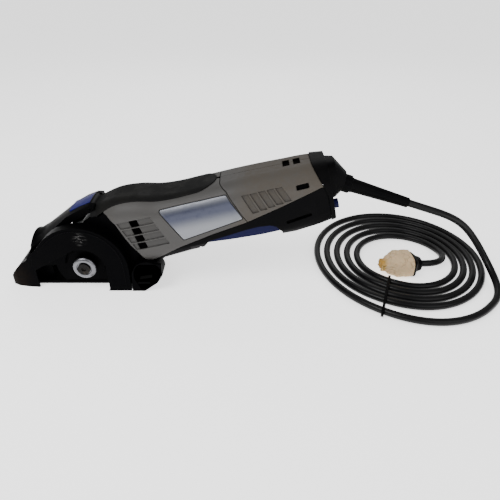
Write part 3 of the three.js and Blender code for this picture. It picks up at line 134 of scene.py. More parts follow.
def eased(at: Array, knots: Sequence[float], values: Sequence[float]) -> Array:
    """A smooth curve through knots: each span is a cubic whose end slopes come from its neighbours.

    Args:
        at: where the curve is wanted.
        knots: places along it, growing.
        values: the curve's value at each knot.

    Returns:
        The curve's values.
    """
    knots, values = np.asarray(knots, float), np.asarray(values, float)
    slopes = np.gradient(values, knots)
    span = np.clip(np.searchsorted(knots, at) - 1, 0, len(knots) - 2)
    width = knots[span + 1] - knots[span]
    t = np.clip((at - knots[span]) / width, 0.0, 1.0)
    start, end = values[span], values[span + 1]
    rise, fall = slopes[span] * width, slopes[span + 1] * width
    return ((2 * t**3 - 3 * t**2 + 1) * start + (t**3 - 2 * t**2 + t) * rise
            + (3 * t**2 - 2 * t**3) * end + (t**3 - t**2) * fall)


def evened(points: Array, step: float) -> Array:
    """A smooth curve through points, given at even distances of about one step.

    Args:
        points: the points, in rows.
        step: the distance between two points of the result.

    Returns:
        Points on the curve, whose parameter is the length of the chords.
    """
    chord = np.concatenate([[0], np.cumsum(np.linalg.norm(np.diff(points, axis=0), axis=1))])
    at = np.linspace(0, chord[-1], int(chord[-1] / step))
    return np.stack([eased(at, chord, column) for column in np.transpose(points)], axis=1)


def unit(vectors: Array) -> Array:
    """Vectors of length 1, in rows."""
    return vectors / np.linalg.norm(vectors, axis=1, keepdims=True)


def ramp(value: Array, low: float, high: float) -> Array:
    """0 below low and 1 above high, with a smooth cubic step between them."""
    t = np.clip((value - low) / (high - low), 0.0, 1.0)
    return t * t * (3 - 2 * t)


def inside_outline(x: Array, z: Array, outline: Outline) -> Array:
    """Signed distance to a closed outline, positive inside it.

    The least distance to any edge is taken, and its sign from how often a line to the right
    crosses the outline.

    Args:
        x, z: the places, of any one shape.
        outline: the corners of the outline, in order.

    Returns:
        The distances, in the same shape.
    """
    corners = np.asarray(outline, float)
    least = np.full(np.shape(x), np.inf)
    crossings = np.zeros(np.shape(x), bool)
    for (ax, az), (bx, bz) in zip(corners, np.roll(corners, -1, axis=0)):
        dx, dz = bx - ax, bz - az
        t = np.clip(((x - ax) * dx + (z - az) * dz) / (dx * dx + dz * dz), 0, 1)
        least = np.minimum(least, np.hypot(x - ax - t * dx, z - az - t * dz))
        if bz != az:
            crossings ^= ((az > z) != (bz > z)) & (x < (z - az) / (bz - az) * dx + ax)
    return np.where(crossings, least, -least)


def rounded_outline(x: Array, z: Array, outline: Outline, radius: float) -> Array:
    """Signed distance to an outline whose corners are rounded, from its inset copy.

    Args:
        x, z: the places, of any one shape.
        outline: the corners of the outline, in order.
        radius: the radius of its corners.

    Returns:
        The distances, positive inside.
    """
    corners = np.asarray(outline, float)
    middle = corners.mean(axis=0)
    reach = np.maximum(np.abs(corners - middle), 1e-6)
    return inside_outline(x, z, middle + (corners - middle) * (1 - radius / reach)) + radius


def slanted(low_start: float, high_start: float, long: float, low: float, high: float) -> Outline:
    """Corners of a band that leans between two levels, as long at both."""
    return [(low_start, low), (low_start + long, low), (high_start + long, high), (high_start, high)]


def pressed_in(x: Array, z: Array, bands: Sequence[Outline], deep: float) -> Array:
    """Depth of grooves with flat floors and soft walls, one for each outline.

    Args:
        x, z: the places, of any one shape.
        bands: the outline of each groove.
        deep: the depth of their floors.

    Returns:
        The depth at each place, 0 outside the grooves.
    """
    depth = np.zeros(np.shape(x))
    for band in bands:
        depth = np.maximum(depth, ramp(inside_outline(x, z, band), *SOFT_WALL) * deep)
    return depth


def quads(rows: int, columns: int, round_rows: bool = False, round_columns: bool = False) -> Array:
    """Faces of a grid of points kept row by row, closed on itself where asked.

    Args:
        rows: how many rows the grid has.
        columns: how many points each row has.
        round_rows: whether the first row follows the last.
        round_columns: whether the first column follows the last.

    Returns:
        Four corner numbers for each face.
    """
    index = np.arange(rows * columns).reshape(rows, columns)
    if round_rows:
        index = np.vstack([index, index[:1]])
    if round_columns:
        index = np.hstack([index, index[:, :1]])
    return np.stack([index[:-1, :-1], index[:-1, 1:], index[1:, 1:], index[1:, :-1]], axis=-1).reshape(-1, 4)


def tube_faces(rows: int, columns: int) -> list[list[int]]:
    """Faces of a tube of rings kept row by row, with a flat cap at each end.

    Args:
        rows: how many rings the tube has.
        columns: how many points each ring has.

    Returns:
        Lists of corner numbers.
    """
    last = (rows - 1) * columns
    caps = [list(range(columns)), list(range(last, last + columns))]
    return quads(rows, columns, round_columns=True).tolist() + caps


# Pieces


def new_item(name: str, mesh: bpy.types.Mesh, finish: Material) -> Item:
    """Puts a mesh, all of one material, into the scene as an object at the origin.

    Args:
        name: the piece's name.
        mesh: its mesh, in metres.
        finish: its material.

    Returns:
        The new object.
    """
    mesh.name = name
    mesh.materials.clear()
    mesh.materials.append(finish)
    item = bpy.data.objects.new(name, mesh)
    bpy.context.scene.collection.objects.link(item)
    return item


def laid(item: Item, body: str, slot: str, *nodes: str) -> None:
    """Hides the CAD nodes that a piece stands for, puts it on its body, and logs its slot and body.

    Args:
        item: the piece.
        body: the name of the CAD body.
        slot: the record's material slot.
        nodes: the CAD nodes that it replaces.
    """
    if nodes:
        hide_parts(*nodes)
    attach(item, body)
    LOG.info("%s of %s made on %s", item.name, slot, body)


def turned_out(mesh: bpy.types.Mesh, merge: float = 0.0) -> None:
    """Merges doubles if asked and turns all faces of a mesh outwards.

    Args:
        mesh: the mesh.
        merge: vertices less than this many metres apart become one.
    """
    work = bmesh.new()
    work.from_mesh(mesh)
    if merge > 0:
        bmesh.ops.remove_doubles(work, verts=work.verts, dist=merge)
    bmesh.ops.recalc_face_normals(work, faces=work.faces)
    work.to_mesh(mesh)
    work.free()


def shaded(mesh: bpy.types.Mesh, angle: float) -> None:
    """Shades a mesh smooth, except across edges sharper than an angle in degrees."""
    mesh.shade_smooth()
    mesh.set_sharp_from_angle(angle=math.radians(angle))


def mesh_item(name: str, points: Array, faces: list, frame: Frame, finish: Material,
              sharp: float | None = 50.0, closed: bool = True) -> Item:
    """A mesh object at the origin.

    Args:
        name: the piece's name.
        points: an array of points in millimetres.
        faces: lists of corner numbers.
        frame: the frame that the points are given in.
        finish: the piece's material.
        sharp: edges sharper than this many degrees stay sharp. Without it all faces are flat.
        closed: whether the mesh is closed, so that its faces can be turned outwards.

    Returns:
        The new object, linked to the scene.
    """
    mesh = bpy.data.meshes.new(name)
    mesh.from_pydata(STANCE.metres(np.reshape(points, (-1, 3)), frame).tolist(), [], faces)
    mesh.validate()
    if closed:
        turned_out(mesh)
    if sharp is not None:
        shaded(mesh, sharp)
    return new_item(name, mesh, finish)


def bevelled(item: Item, width: float, segments: int, angle: float = 30.0) -> Item:
    """Rounds the edges sharper than an angle in degrees, to a width in millimetres.

    Args:
        item: the piece.
        width: how wide the rounding is, in millimetres.
        segments: how many faces the rounding has.
        angle: edges sharper than this many degrees are rounded.

    Returns:
        The same piece.
    """
    edge = item.modifiers.new("edges", "BEVEL")
    edge.width = width * MM
    edge.segments = segments
    edge.limit_method = "ANGLE"
    edge.angle_limit = math.radians(angle)
    return item


def flat_piece(name: str, outline: Outline, sides: Sequence[float], frame: Frame, finish: Material,
               width: float) -> Item:
    """A flat piece: an outline of x and z carried from one level of y to another, edges rounded.

    Args:
        name: the piece's name.
        outline: corners of x and z in millimetres.
        sides: the two levels of y in millimetres.
        frame: the frame of the millimetres.
        finish: the piece's material.
        width: how wide the rounding is, in millimetres.

    Returns:
        The new object.
    """
    points = np.concatenate([np.insert(np.asarray(outline, float), 1, y, axis=1) for y in sides])
    item = mesh_item(name, points, tube_faces(2, len(outline)), frame, finish, sharp=None)
    return bevelled(item, width, 2)


def walled(item: Item, thick: float, lining: Material | None = None) -> Item:
    """Gives an open skin a wall, inwards from its outer face, whose inside may be of another material.

    Args:
        item: the skin.
        thick: the wall in millimetres.
        lining: the material of the wall's inner face and rim, if it isn't the skin's.

    Returns:
        The same piece.
    """
    wall = item.modifiers.new("wall", "SOLIDIFY")
    wall.thickness = thick * MM
    wall.offset = -1.0
    wall.use_even_offset = False
    if lining is not None:
        item.data.materials.append(lining)
        wall.material_offset = 1
        wall.material_offset_rim = 1
    return item


def softened(node: str, name: str, finish: Material, width: float, segments: int, angle: float,
             shape: Callable[[Array], Array] | None = None, slices: Sequence[float] = ()) -> Item:
    """A copy of a CAD node with its flat parts joined and its edges rounded.

    Its corners are welded first, and faces that meet flat become one, so that only the true
    edges are rounded.

    Args:
        node: the CAD node's name.
        name: the new piece's name.
        finish: the piece's material.
        width: how wide the rounding is, in millimetres.
        segments: how many faces the rounding has.
        angle: edges sharper than this many degrees are rounded.
        shape: moves the copy's points, given and returned as standing millimetres.
        slices: the levels of y, in millimetres, that the copy is first cut along, so that its
            flat faces can bend.

    Returns:
        The new object.
    """
    mesh = bpy.data.objects[node].data.copy()
    work = bmesh.new()
    work.from_mesh(mesh)
    bmesh.ops.remove_doubles(work, verts=work.verts, dist=COPY_WELD)
    bmesh.ops.dissolve_limit(work, angle_limit=FLAT_ANGLE, verts=work.verts, edges=work.edges,
                             use_dissolve_boundaries=False)
    for level in slices:
        bmesh.ops.bisect_plane(work, geom=[*work.verts, *work.edges, *work.faces], dist=CUT_REACH,
                               plane_co=(0, level * MM, 0), plane_no=(0, 1, 0))
    work.to_mesh(mesh)
    work.free()
    if shape is not None:
        places = np.empty(len(mesh.vertices) * 3)
        mesh.vertices.foreach_get("co", places)
        places = places.reshape(-1, 3) / MM - (STANCE.shift, 0, 0)
        mesh.vertices.foreach_set("co", STANCE.metres(shape(places), Frame.STANDING).reshape(-1))
        mesh.update()
    shaded(mesh, angle)
    return bevelled(new_item(name, mesh, finish), width, segments, angle)


# Shader maths


class Socket:
    """An output socket whose operators add Math nodes, so that shader maths reads as a formula."""

    def __init__(self, tree: bpy.types.NodeTree, socket: bpy.types.NodeSocket) -> None:
        """Keeps the tree and the socket."""
        self.tree = tree
        self.socket = socket

    def _math(self, operation: str, first: object, second: object) -> Socket:
        """A Math node on two values, either of which may be a number or a socket.

        Args:
            operation: the node's operation.
            first: a number or a socket.
            second: a number or a socket.

        Returns:
            The node's output, wrapped.
        """
        node = self.tree.nodes.new("ShaderNodeMath")
        node.operation = operation
        feed(self.tree, node.inputs[0], first)
        feed(self.tree, node.inputs[1], second)
        return Socket(self.tree, node.outputs[0])

    def __add__(self, other: object) -> Socket:
        """Sum."""
        return self._math("ADD", self, other)

    def __sub__(self, other: object) -> Socket:
        """Difference."""
        return self._math("SUBTRACT", self, other)

    def __mul__(self, other: object) -> Socket:
        """Product."""
        return self._math("MULTIPLY", self, other)

    def __rsub__(self, other: object) -> Socket:
        """A number less this socket."""
        return self._math("SUBTRACT", other, self)

    __radd__ = __add__
    __rmul__ = __mul__

    def clipped(self) -> Socket:
        """The value held between 0 and 1."""
        return self._math("MINIMUM", self._math("MAXIMUM", self, 0.0), 1.0)


def feed(tree: bpy.types.NodeTree, slot: bpy.types.NodeSocket, value: object) -> None:
    """Links a wrapped socket to an input, or sets the input to a number or a colour.

    Args:
        tree: the material's node tree.
        slot: the input.
        value: a wrapped socket, a number or a colour.
    """
    if isinstance(value, Socket):
        tree.links.new(value.socket, slot)
    else:
        slot.default_value = value


class Shade:
    """One material under construction: its tree, its shader and the nodes that feed it."""

    def __init__(self, name: str) -> None:
        """Starts an empty material.

        Args:
            name: the material's name.
        """
        self.material = bpy.data.materials.new(name)
        self.material.use_nodes = True
        self.tree = self.material.node_tree
        self.tree.nodes.clear()
        self.shader = self.tree.nodes.new("ShaderNodeBsdfPrincipled")
        output = self.tree.nodes.new("ShaderNodeOutputMaterial")
        self.tree.links.new(self.shader.outputs[0], output.inputs[0])
        self.place = self.node("ShaderNodeTexCoord", {}, {}, "Object")

    def node(self, kind: str, settings: dict, inputs: dict, output: object = 0) -> Socket:
        """A node by its type, its settings, and the values or links of its sockets.

        Args:
            kind: the node's type name.
            settings: attributes to set first.
            inputs: socket name or number to a number, a colour, or a Socket.
            output: name or number of the output to return.

        Returns:
            The chosen output, wrapped.
        """
        made = self.tree.nodes.new(kind)
        for key, value in settings.items():
            setattr(made, key, value)
        for key, value in inputs.items():
            feed(self.tree, made.inputs[key], value)
        return Socket(self.tree, made.outputs[output])

    def noise(self, scale: float, detail: float = 3.0, roughness: float = 0.55, stretch: Sequence = (1, 1, 1),
              distortion: float = 0.0) -> Socket:
        """Noise on Object coordinates, with its features about 1 / scale metres across.

        Args:
            scale: features in a metre.
            detail: how many finer layers are added.
            roughness: how strong each finer layer is.
            stretch: the coordinates' scale along x, y and z.
            distortion: how far the noise is pulled about by itself.

        Returns:
            The noise, mostly between 0.3 and 0.7.
        """
        place = self.node("ShaderNodeMapping", {}, {"Vector": self.place, "Scale": stretch})
        return self.node("ShaderNodeTexNoise", {}, {"Vector": place, "Scale": scale, "Detail": detail,
                                                    "Roughness": roughness, "Distortion": distortion})

    def steps(self, value: Socket, low: float, high: float) -> Socket:
        """0 below low, 1 above high and a smooth rise between them."""
        return self.node("ShaderNodeMapRange", {"interpolation_type": "SMOOTHSTEP"},
                         {0: value, 1: low, 2: high})

    def near(self, point: Sequence[float], inner: float, outer: float) -> Socket:
        """A soft ball of 1 round a point, which fades to 0.

        Args:
            point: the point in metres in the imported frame.
            inner: the distance in metres where the fading starts.
            outer: the distance in metres where it ends.

        Returns:
            The ball's strength at each place.
        """
        away = self.node("ShaderNodeVectorMath", {"operation": "DISTANCE"}, {0: self.place, 1: point},
                         "Value")
        return 1.0 - self.steps(away, inner, outer)

    def mix(self, factor: Socket, first: object, second: object) -> Socket:
        """A mix of two colours, from the first at 0 to the second at 1."""
        return self.node("ShaderNodeMix", {"data_type": "RGBA"}, {0: factor, 6: first, 7: second}, 2)

    def axis(self, name: str) -> Socket:
        """The x, y or z of the point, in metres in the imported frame."""
        return self.node("ShaderNodeSeparateXYZ", {}, {0: self.place}, name)

    def finish(self, color: Socket, roughness: object, height: Socket | None = None, depth: float = 0.0,
               **others: object) -> Material:
        """Feeds the shader.

        Args:
            color: the base colour.
            roughness: a number or a socket.
            height: the relief, in units of depth.
            depth: the relief's unit in metres.
            others: further sockets of the shader, named with underscores for blanks.

        Returns:
            The finished material.
        """
        fed = {"Base_Color": color, "Roughness": roughness, **others}
        if height is not None:
            fed["Normal"] = self.node("ShaderNodeBump", {}, {"Height": height, "Distance": depth}, "Normal")
        for key, value in fed.items():
            feed(self.tree, self.shader.inputs[key.replace("_", " ")], value)
        return self.material


def rgb(red: float, green: float, blue: float) -> tuple[float, float, float, float]:
    """A linear colour from display values between 0 and 255."""
    linear = [((v / 255 + 0.055) / 1.055) ** 2.4 if v > 10 else v / 255 / 12.92 for v in (red, green, blue)]
    return (*linear, 1.0)


# Materials


@dataclass(frozen=True)
class MouldedPlastic:
    """Moulded plastic with a fine spark-eroded grain, rubbed dirt, light scuffs and, on the panels, painted
    shade in the grooves.
    """

    name: str
    color: tuple
    dirt: tuple
    dirt_share: float = 0.35
    roughness: float = 0.45
    scuffs: float = 0.15
    scuff_color: tuple = rgb(190, 188, 184)
    specular: float = 0.03
    dusty_from: float = FAR
    black_from: float = FAR
    groove_shade_color: tuple = rgb(10, 10, 10)
    black_color: tuple = rgb(8, 8, 9)
    grain: float = 0.00003

    def make(self) -> Material:
        """Builds the material: broad dirt, fine speckle and stretched scuffs over a base colour.

        Where the piece has a pressed attribute, the edges and floors of its grooves are darkened by
        it: painted shade in the grooves. The dirt grows along +x from dusty_from, and the plastic is
        black beyond black_from, both in metres.

        Returns:
            The material.
        """
        shade = Shade(self.name)
        x = shade.axis("X")
        fine = shade.noise(240.0, 5.0, 0.7)
        more = shade.steps(x, self.dusty_from, self.dusty_from + 0.03) * 0.55
        mottle = shade.noise(28.0, 4.0, 0.65) * 0.6 + fine * 0.4 + more * 0.2
        grime = ((shade.steps(mottle, 0.36, 0.72) * 0.7 + more * 0.4) * (more + self.dirt_share)).clipped()
        streaks = shade.noise(160.0, 3.0, 0.8, (0.25, 1.0, 1.0), 0.6)
        patches = shade.steps(shade.noise(45.0, 2.0), 0.5, 0.62)
        scuffs = (shade.steps(streaks, 0.63, 0.72) * patches * self.scuffs).clipped()
        # Painted shade: the groove edges and floors are darkened by the attribute
        pressed = shade.node("ShaderNodeAttribute", {"attribute_name": GROOVE_SHADE_ATTRIBUTE}, {}, "Fac")
        worn = shade.mix(scuffs, shade.mix(grime, self.color, self.dirt), self.scuff_color)
        beyond = shade.steps(x, self.black_from - 0.0004, self.black_from + 0.0004)
        color = shade.mix((pressed * 0.85).clipped(), shade.mix(beyond, worn, self.black_color),
                          self.groove_shade_color)
        return shade.finish(color, (grime * 0.25 + fine * 0.12 + (self.roughness - 0.06)).clipped(),
                            shade.noise(1800.0, 2.0) + scuffs * 0.5, self.grain,
                            Specular_IOR_Level=self.specular)


@dataclass(frozen=True)
class DustyPlastic:
    """Black plastic that wood dust has settled on, most of it towards the nose of the foot."""

    name: str
    color: tuple
    dust: tuple
    dust_from: float
    dust_to: float
    least: float
    most: float
    scrape_at: tuple = (0.0, FAR, 0.0)
    scrape_reach: float = 0.008
    scratch_color: tuple = rgb(104, 103, 102)

    def make(self) -> Material:
        """Builds the material: the dust's share grows along -x, broken up by two noises.

        Round scrape_at a few short pale scratches show.

        Returns:
            The material.
        """
        shade = Shade(self.name)
        along = shade.steps(shade.axis("X") * -1.0, -self.dust_from, -self.dust_to)
        fine = shade.noise(420.0, 4.0, 0.75)
        settled = shade.steps(shade.noise(60.0, 5.0, 0.7) * 0.6 + fine * 0.4, 0.4, 0.62)
        dust = (settled * (along * self.most + self.least)).clipped()
        marks = shade.steps(shade.noise(420.0, 3.0, 0.7, (0.5, 1.0, 1.4), 0.8), 0.53, 0.6)
        near = shade.near(self.scrape_at, self.scrape_reach * 0.3, self.scrape_reach)
        scratch = (marks * near * 0.5).clipped()
        return shade.finish(shade.mix(scratch, shade.mix(dust, self.color, self.dust), self.scratch_color),
                            (dust * 0.35 + fine * 0.12 + 0.3).clipped(),
                            shade.noise(1500.0, 2.0) + dust * 1.5, 0.00004, Specular_IOR_Level=0.015)


@dataclass(frozen=True)
class SoftGrip:
    """Over-moulded rubber with a fine leathery grain."""

    name: str
    color: tuple
    worn: tuple

    def make(self) -> Material:
        """Builds the material: a cell pattern for the grain and noise for the worn, shiny places.

        Returns:
            The material.
        """
        shade = Shade(self.name)
        wear = shade.steps(shade.noise(35.0, 4.0, 0.6), 0.45, 0.7)
        cells = shade.node("ShaderNodeTexVoronoi", {"feature": "F1"}, {"Vector": shade.place, "Scale": 900.0})
        return shade.finish(shade.mix(wear * 0.6, self.color, self.worn), (0.62 - wear * 0.16).clipped(),
                            cells + shade.noise(1600.0, 2.0) * 0.5, 0.00006, Specular_IOR_Level=0.08)


@dataclass(frozen=True)
class PlainMetal:
    """Machined or blackened metal with fine turning marks."""

    name: str
    color: tuple
    roughness: float
    stain: tuple = rgb(92, 84, 72)
    stain_share: float = 0.2

    def make(self) -> Material:
        """Builds the material: stretched noise for machining marks, and a broad stain.

        Returns:
            The material.
        """
        shade = Shade(self.name)
        marks = shade.noise(900.0, 3.0, 0.6, (1.0, 0.12, 1.0))
        stain = (shade.steps(shade.noise(120.0, 4.0, 0.7), 0.5, 0.72) * self.stain_share).clipped()
        return shade.finish(shade.mix(stain, self.color, self.stain),
                            (marks * 0.16 + stain * 0.3 + (self.roughness - 0.08)).clipped(),
                            marks, 0.00002, Metallic=1.0)


@dataclass(frozen=True)
class SilverFoil:
    """The bare plate: a satin silver film, rubbed here and there, with a painted reflection band."""

    name: str
    # light is the film's own colour, dark the colour of its painted reflection band
    light: tuple
    dark: tuple

    def make(self) -> Material:
        """Builds the material: a darker band along the film, a painted reflection, placed by the height over
        the spindle.

        The height is measured across the plate, which is tilted, so it is z times the tilt's
        cosine less x times its sine. The band is rubbed by noise.

        Returns:
            The material.
        """
        shade = Shade(self.name)
        tilt = math.radians(STANCE.tilt)
        up = ((shade.axis("Z") - STANCE.spindle_height * MM) * math.cos(tilt)
              - (shade.axis("X") - STANCE.shift * MM) * math.sin(tilt))
        # Painted reflection: a darker band across the plate at these heights
        painted_reflection_band = shade.steps(up, 0.015, 0.030) * (1.0 - shade.steps(up, 0.034, 0.0405) * 0.75)
        rub = shade.steps(shade.noise(55.0, 4.0, 0.7), 0.48, 0.7)
        fine = shade.noise(1400.0, 2.0)
        return shade.finish(shade.mix((painted_reflection_band * 0.9 + rub * 0.1).clipped(), self.light, self.dark),
                            (rub * 0.14 + fine * 0.08 + 0.34).clipped(), fine, 0.00001, Metallic=0.55)


@dataclass(frozen=True)
class CordJacket:
    """Smooth black jacket of the cord, dusty here and there."""

    name: str
    color: tuple
    dust: tuple

    def make(self) -> Material:
        """Builds the material: a low gloss broken up by fine noise.

        Returns:
            The material.
        """
        shade = Shade(self.name)
        fine = shade.noise(700.0, 3.0, 0.6)
        dust = (shade.steps(shade.noise(40.0, 4.0, 0.7) * 0.5 + fine * 0.5, 0.5, 0.68) * 0.2).clipped()
        return shade.finish(shade.mix(dust, self.color, self.dust),
                            (fine * 0.2 + dust * 0.4 + 0.22).clipped(),
                            shade.noise(1100.0, 2.0) + shade.noise(130.0, 2.0) * 2.0, 0.00003,
                            Specular_IOR_Level=0.16)


@dataclass(frozen=True)
class CrumpledPaper:
    """Thin beige paper, creased and rubbed, with painted shade in its creases and a yellow stained end."""

    name: str
    color: tuple
    crease_shade: tuple
    stain: tuple
    stain_at: tuple
    stain_reach: float

    def make(self) -> Material:
        """Builds the material: crease lines from cell borders and the hollows of the folds, both darkened as
        painted shade, and a stain round one point.

        Returns:
            The material.
        """
        shade = Shade(self.name)
        cells = shade.node("ShaderNodeTexVoronoi", {"feature": "DISTANCE_TO_EDGE"},
                           {"Vector": shade.place, "Scale": 170.0})
        folds = shade.noise(90.0, 5.0, 0.65)
        lines = (1.0 - shade.steps(cells, 0.0, 0.12)) * shade.steps(folds, 0.42, 0.6)
        near = shade.near(self.stain_at, self.stain_reach * 0.4, self.stain_reach) * 0.9
        # Painted shade: the crease lines and the hollows of the folds are darkened
        paper = shade.mix((lines * 0.5 + (1.0 - folds) * 0.25).clipped(), self.color, self.crease_shade)
        return shade.finish(shade.mix(near.clipped(), paper, self.stain), 0.85, folds + lines * 0.4, 0.0006,
                            Subsurface_Weight=0.08, Subsurface_Scale=0.002)


@dataclass(frozen=True)
class StudioFloor:
    """The plain pale floor, which glows a little, so that it stays pale in the saw's soft light."""

    name: str
    color: tuple
    mottle: tuple
    glow: float

    def make(self) -> Material:
        """Builds the material: one matt white with the slightest mottle.

        Returns:
            The material.
        """
        shade = Shade(self.name)
        return shade.finish(shade.mix(shade.noise(6.0, 2.0) * 0.04, self.color, self.mottle), 0.95,
                            Emission_Color=(1.0, 1.0, 1.0, 1.0), Emission_Strength=self.glow)


class Finishes:
    """All materials of the saw, by the plain name of what they cover."""

    blackened = ("lever_pin", "guard_screw", "foot_pin", "trigger_pin")

    def __init__(self) -> None:
        """Makes every material once."""
        blue_scuff = rgb(60, 66, 110)
        self.grey = MouldedPlastic("grey_housing_plastic", rgb(66, 65, 64), rgb(71, 64, 55), 0.2, 0.45,
                                   scuff_color=rgb(120, 117, 112), specular=0.16, dusty_from=0.045).make()
        self.black = MouldedPlastic("black_housing_plastic", rgb(4, 4, 5), rgb(19, 18, 16), 0.3, 0.4,
                                    scuffs=0.05, scuff_color=rgb(60, 60, 60)).make()
        # Near-black plastic that stands for shade: it lines the panels' inner faces and rims, and makes the
        # sheets behind the openings and the heel's recess plate
        self.inner = MouldedPlastic("dark_inner_plastic", rgb(5, 5, 5), rgb(9, 9, 8), 0.3, 0.8, scuffs=0.0,
                                    specular=0.02).make()
        self.dusty = DustyPlastic("dusty_foot_plastic", rgb(3, 3, 4), rgb(27, 17, 8), -0.132, -0.166,
                                  0.02, 0.6).make()
        self.guard = DustyPlastic("guard_plastic", rgb(3, 3, 4), rgb(11, 10, 9), -0.06, -0.2, 0.1, 0.3,
                                  scrape_at=(-0.0825, -0.033, 0.0575)).make()
        self.grip = SoftGrip("grip_rubber", rgb(10, 10, 10), rgb(20, 19, 17)).make()
        self.blue = MouldedPlastic("blue_plastic", rgb(3, 6, 58), rgb(2, 4, 22), 0.4, 0.4, scuffs=0.06,
                                   scuff_color=blue_scuff, specular=0.12).make()
        self.lever = MouldedPlastic("lever_blue_plastic", rgb(10, 15, 92), rgb(6, 8, 40), 0.4, 0.42,
                                    scuffs=0.05, scuff_color=blue_scuff, specular=0.12,
                                    black_from=-0.0741).make()
        self.plate = SilverFoil("silver_plate_film", rgb(120, 122, 127), rgb(47, 51, 70)).make()
        self.steel = PlainMetal("bright_steel", rgb(112, 112, 116), 0.3, rgb(36, 34, 32), 0.6).make()
        self.dark_steel = PlainMetal("blackened_steel", rgb(30, 29, 29), 0.42).make()
        self.brass = PlainMetal("brass", rgb(190, 158, 92), 0.3).make()
        self.copper = PlainMetal("copper", rgb(190, 120, 80), 0.32).make()
        self.carbon = MouldedPlastic("carbon_brush", rgb(40, 40, 42), rgb(60, 58, 56), 0.4, 0.7).make()
        self.cord = CordJacket("cord_jacket", rgb(6, 6, 7), rgb(26, 25, 23)).make()
        self.paper = CrumpledPaper("plug_paper", rgb(206, 180, 142), rgb(132, 104, 72), rgb(176, 132, 40),
                                   (0.2062, -0.0009, 0.0098), 0.011).make()
        self.floor = StudioFloor("studio_floor", rgb(252, 252, 252), rgb(245, 245, 245), 1.3).make()
        self.slots = {
            "grey_plastic": self.grey, "black_plastic": self.black, "grip_rubber": self.grip,
            "blue_plastic": self.blue, "silver_plate": self.plate, "steel": self.steel,
            "dark_steel": self.dark_steel, "copper": self.copper, "brass": self.brass, "carbon": self.carbon,
            "cord_rubber": self.cord, "paper": self.paper,
        }

    def dress(self, nodes: dict, record: dict) -> None:
        """Gives each CAD node the material of its slot in the record.

        The small pins and screws that show on black pieces are blackened.

        Args:
            nodes: the CAD nodes' objects by name.
            record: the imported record.
        """
        for part in record["subparts"]:
            small = part["node"].startswith(self.blackened)
            materials = nodes[part["node"]].data.materials
            materials.clear()
            materials.append(self.dark_steel if small else self.slots[part["material_slot"]])


# The motor housing's skin


@dataclass(frozen=True)
class Cut:
    """The part of the skin that a panel is cut from, and how the panel lies on it.

    span is the first and last distance along the housing, turns the first and last parameter
    round the section, and cell the width of a grid cell. proud is how far the panel stands over
    the skin.
    """

    span: tuple
    turns: tuple
    cell: float = 0.55
    proud: float = 0.0
    wall: float = 1.7


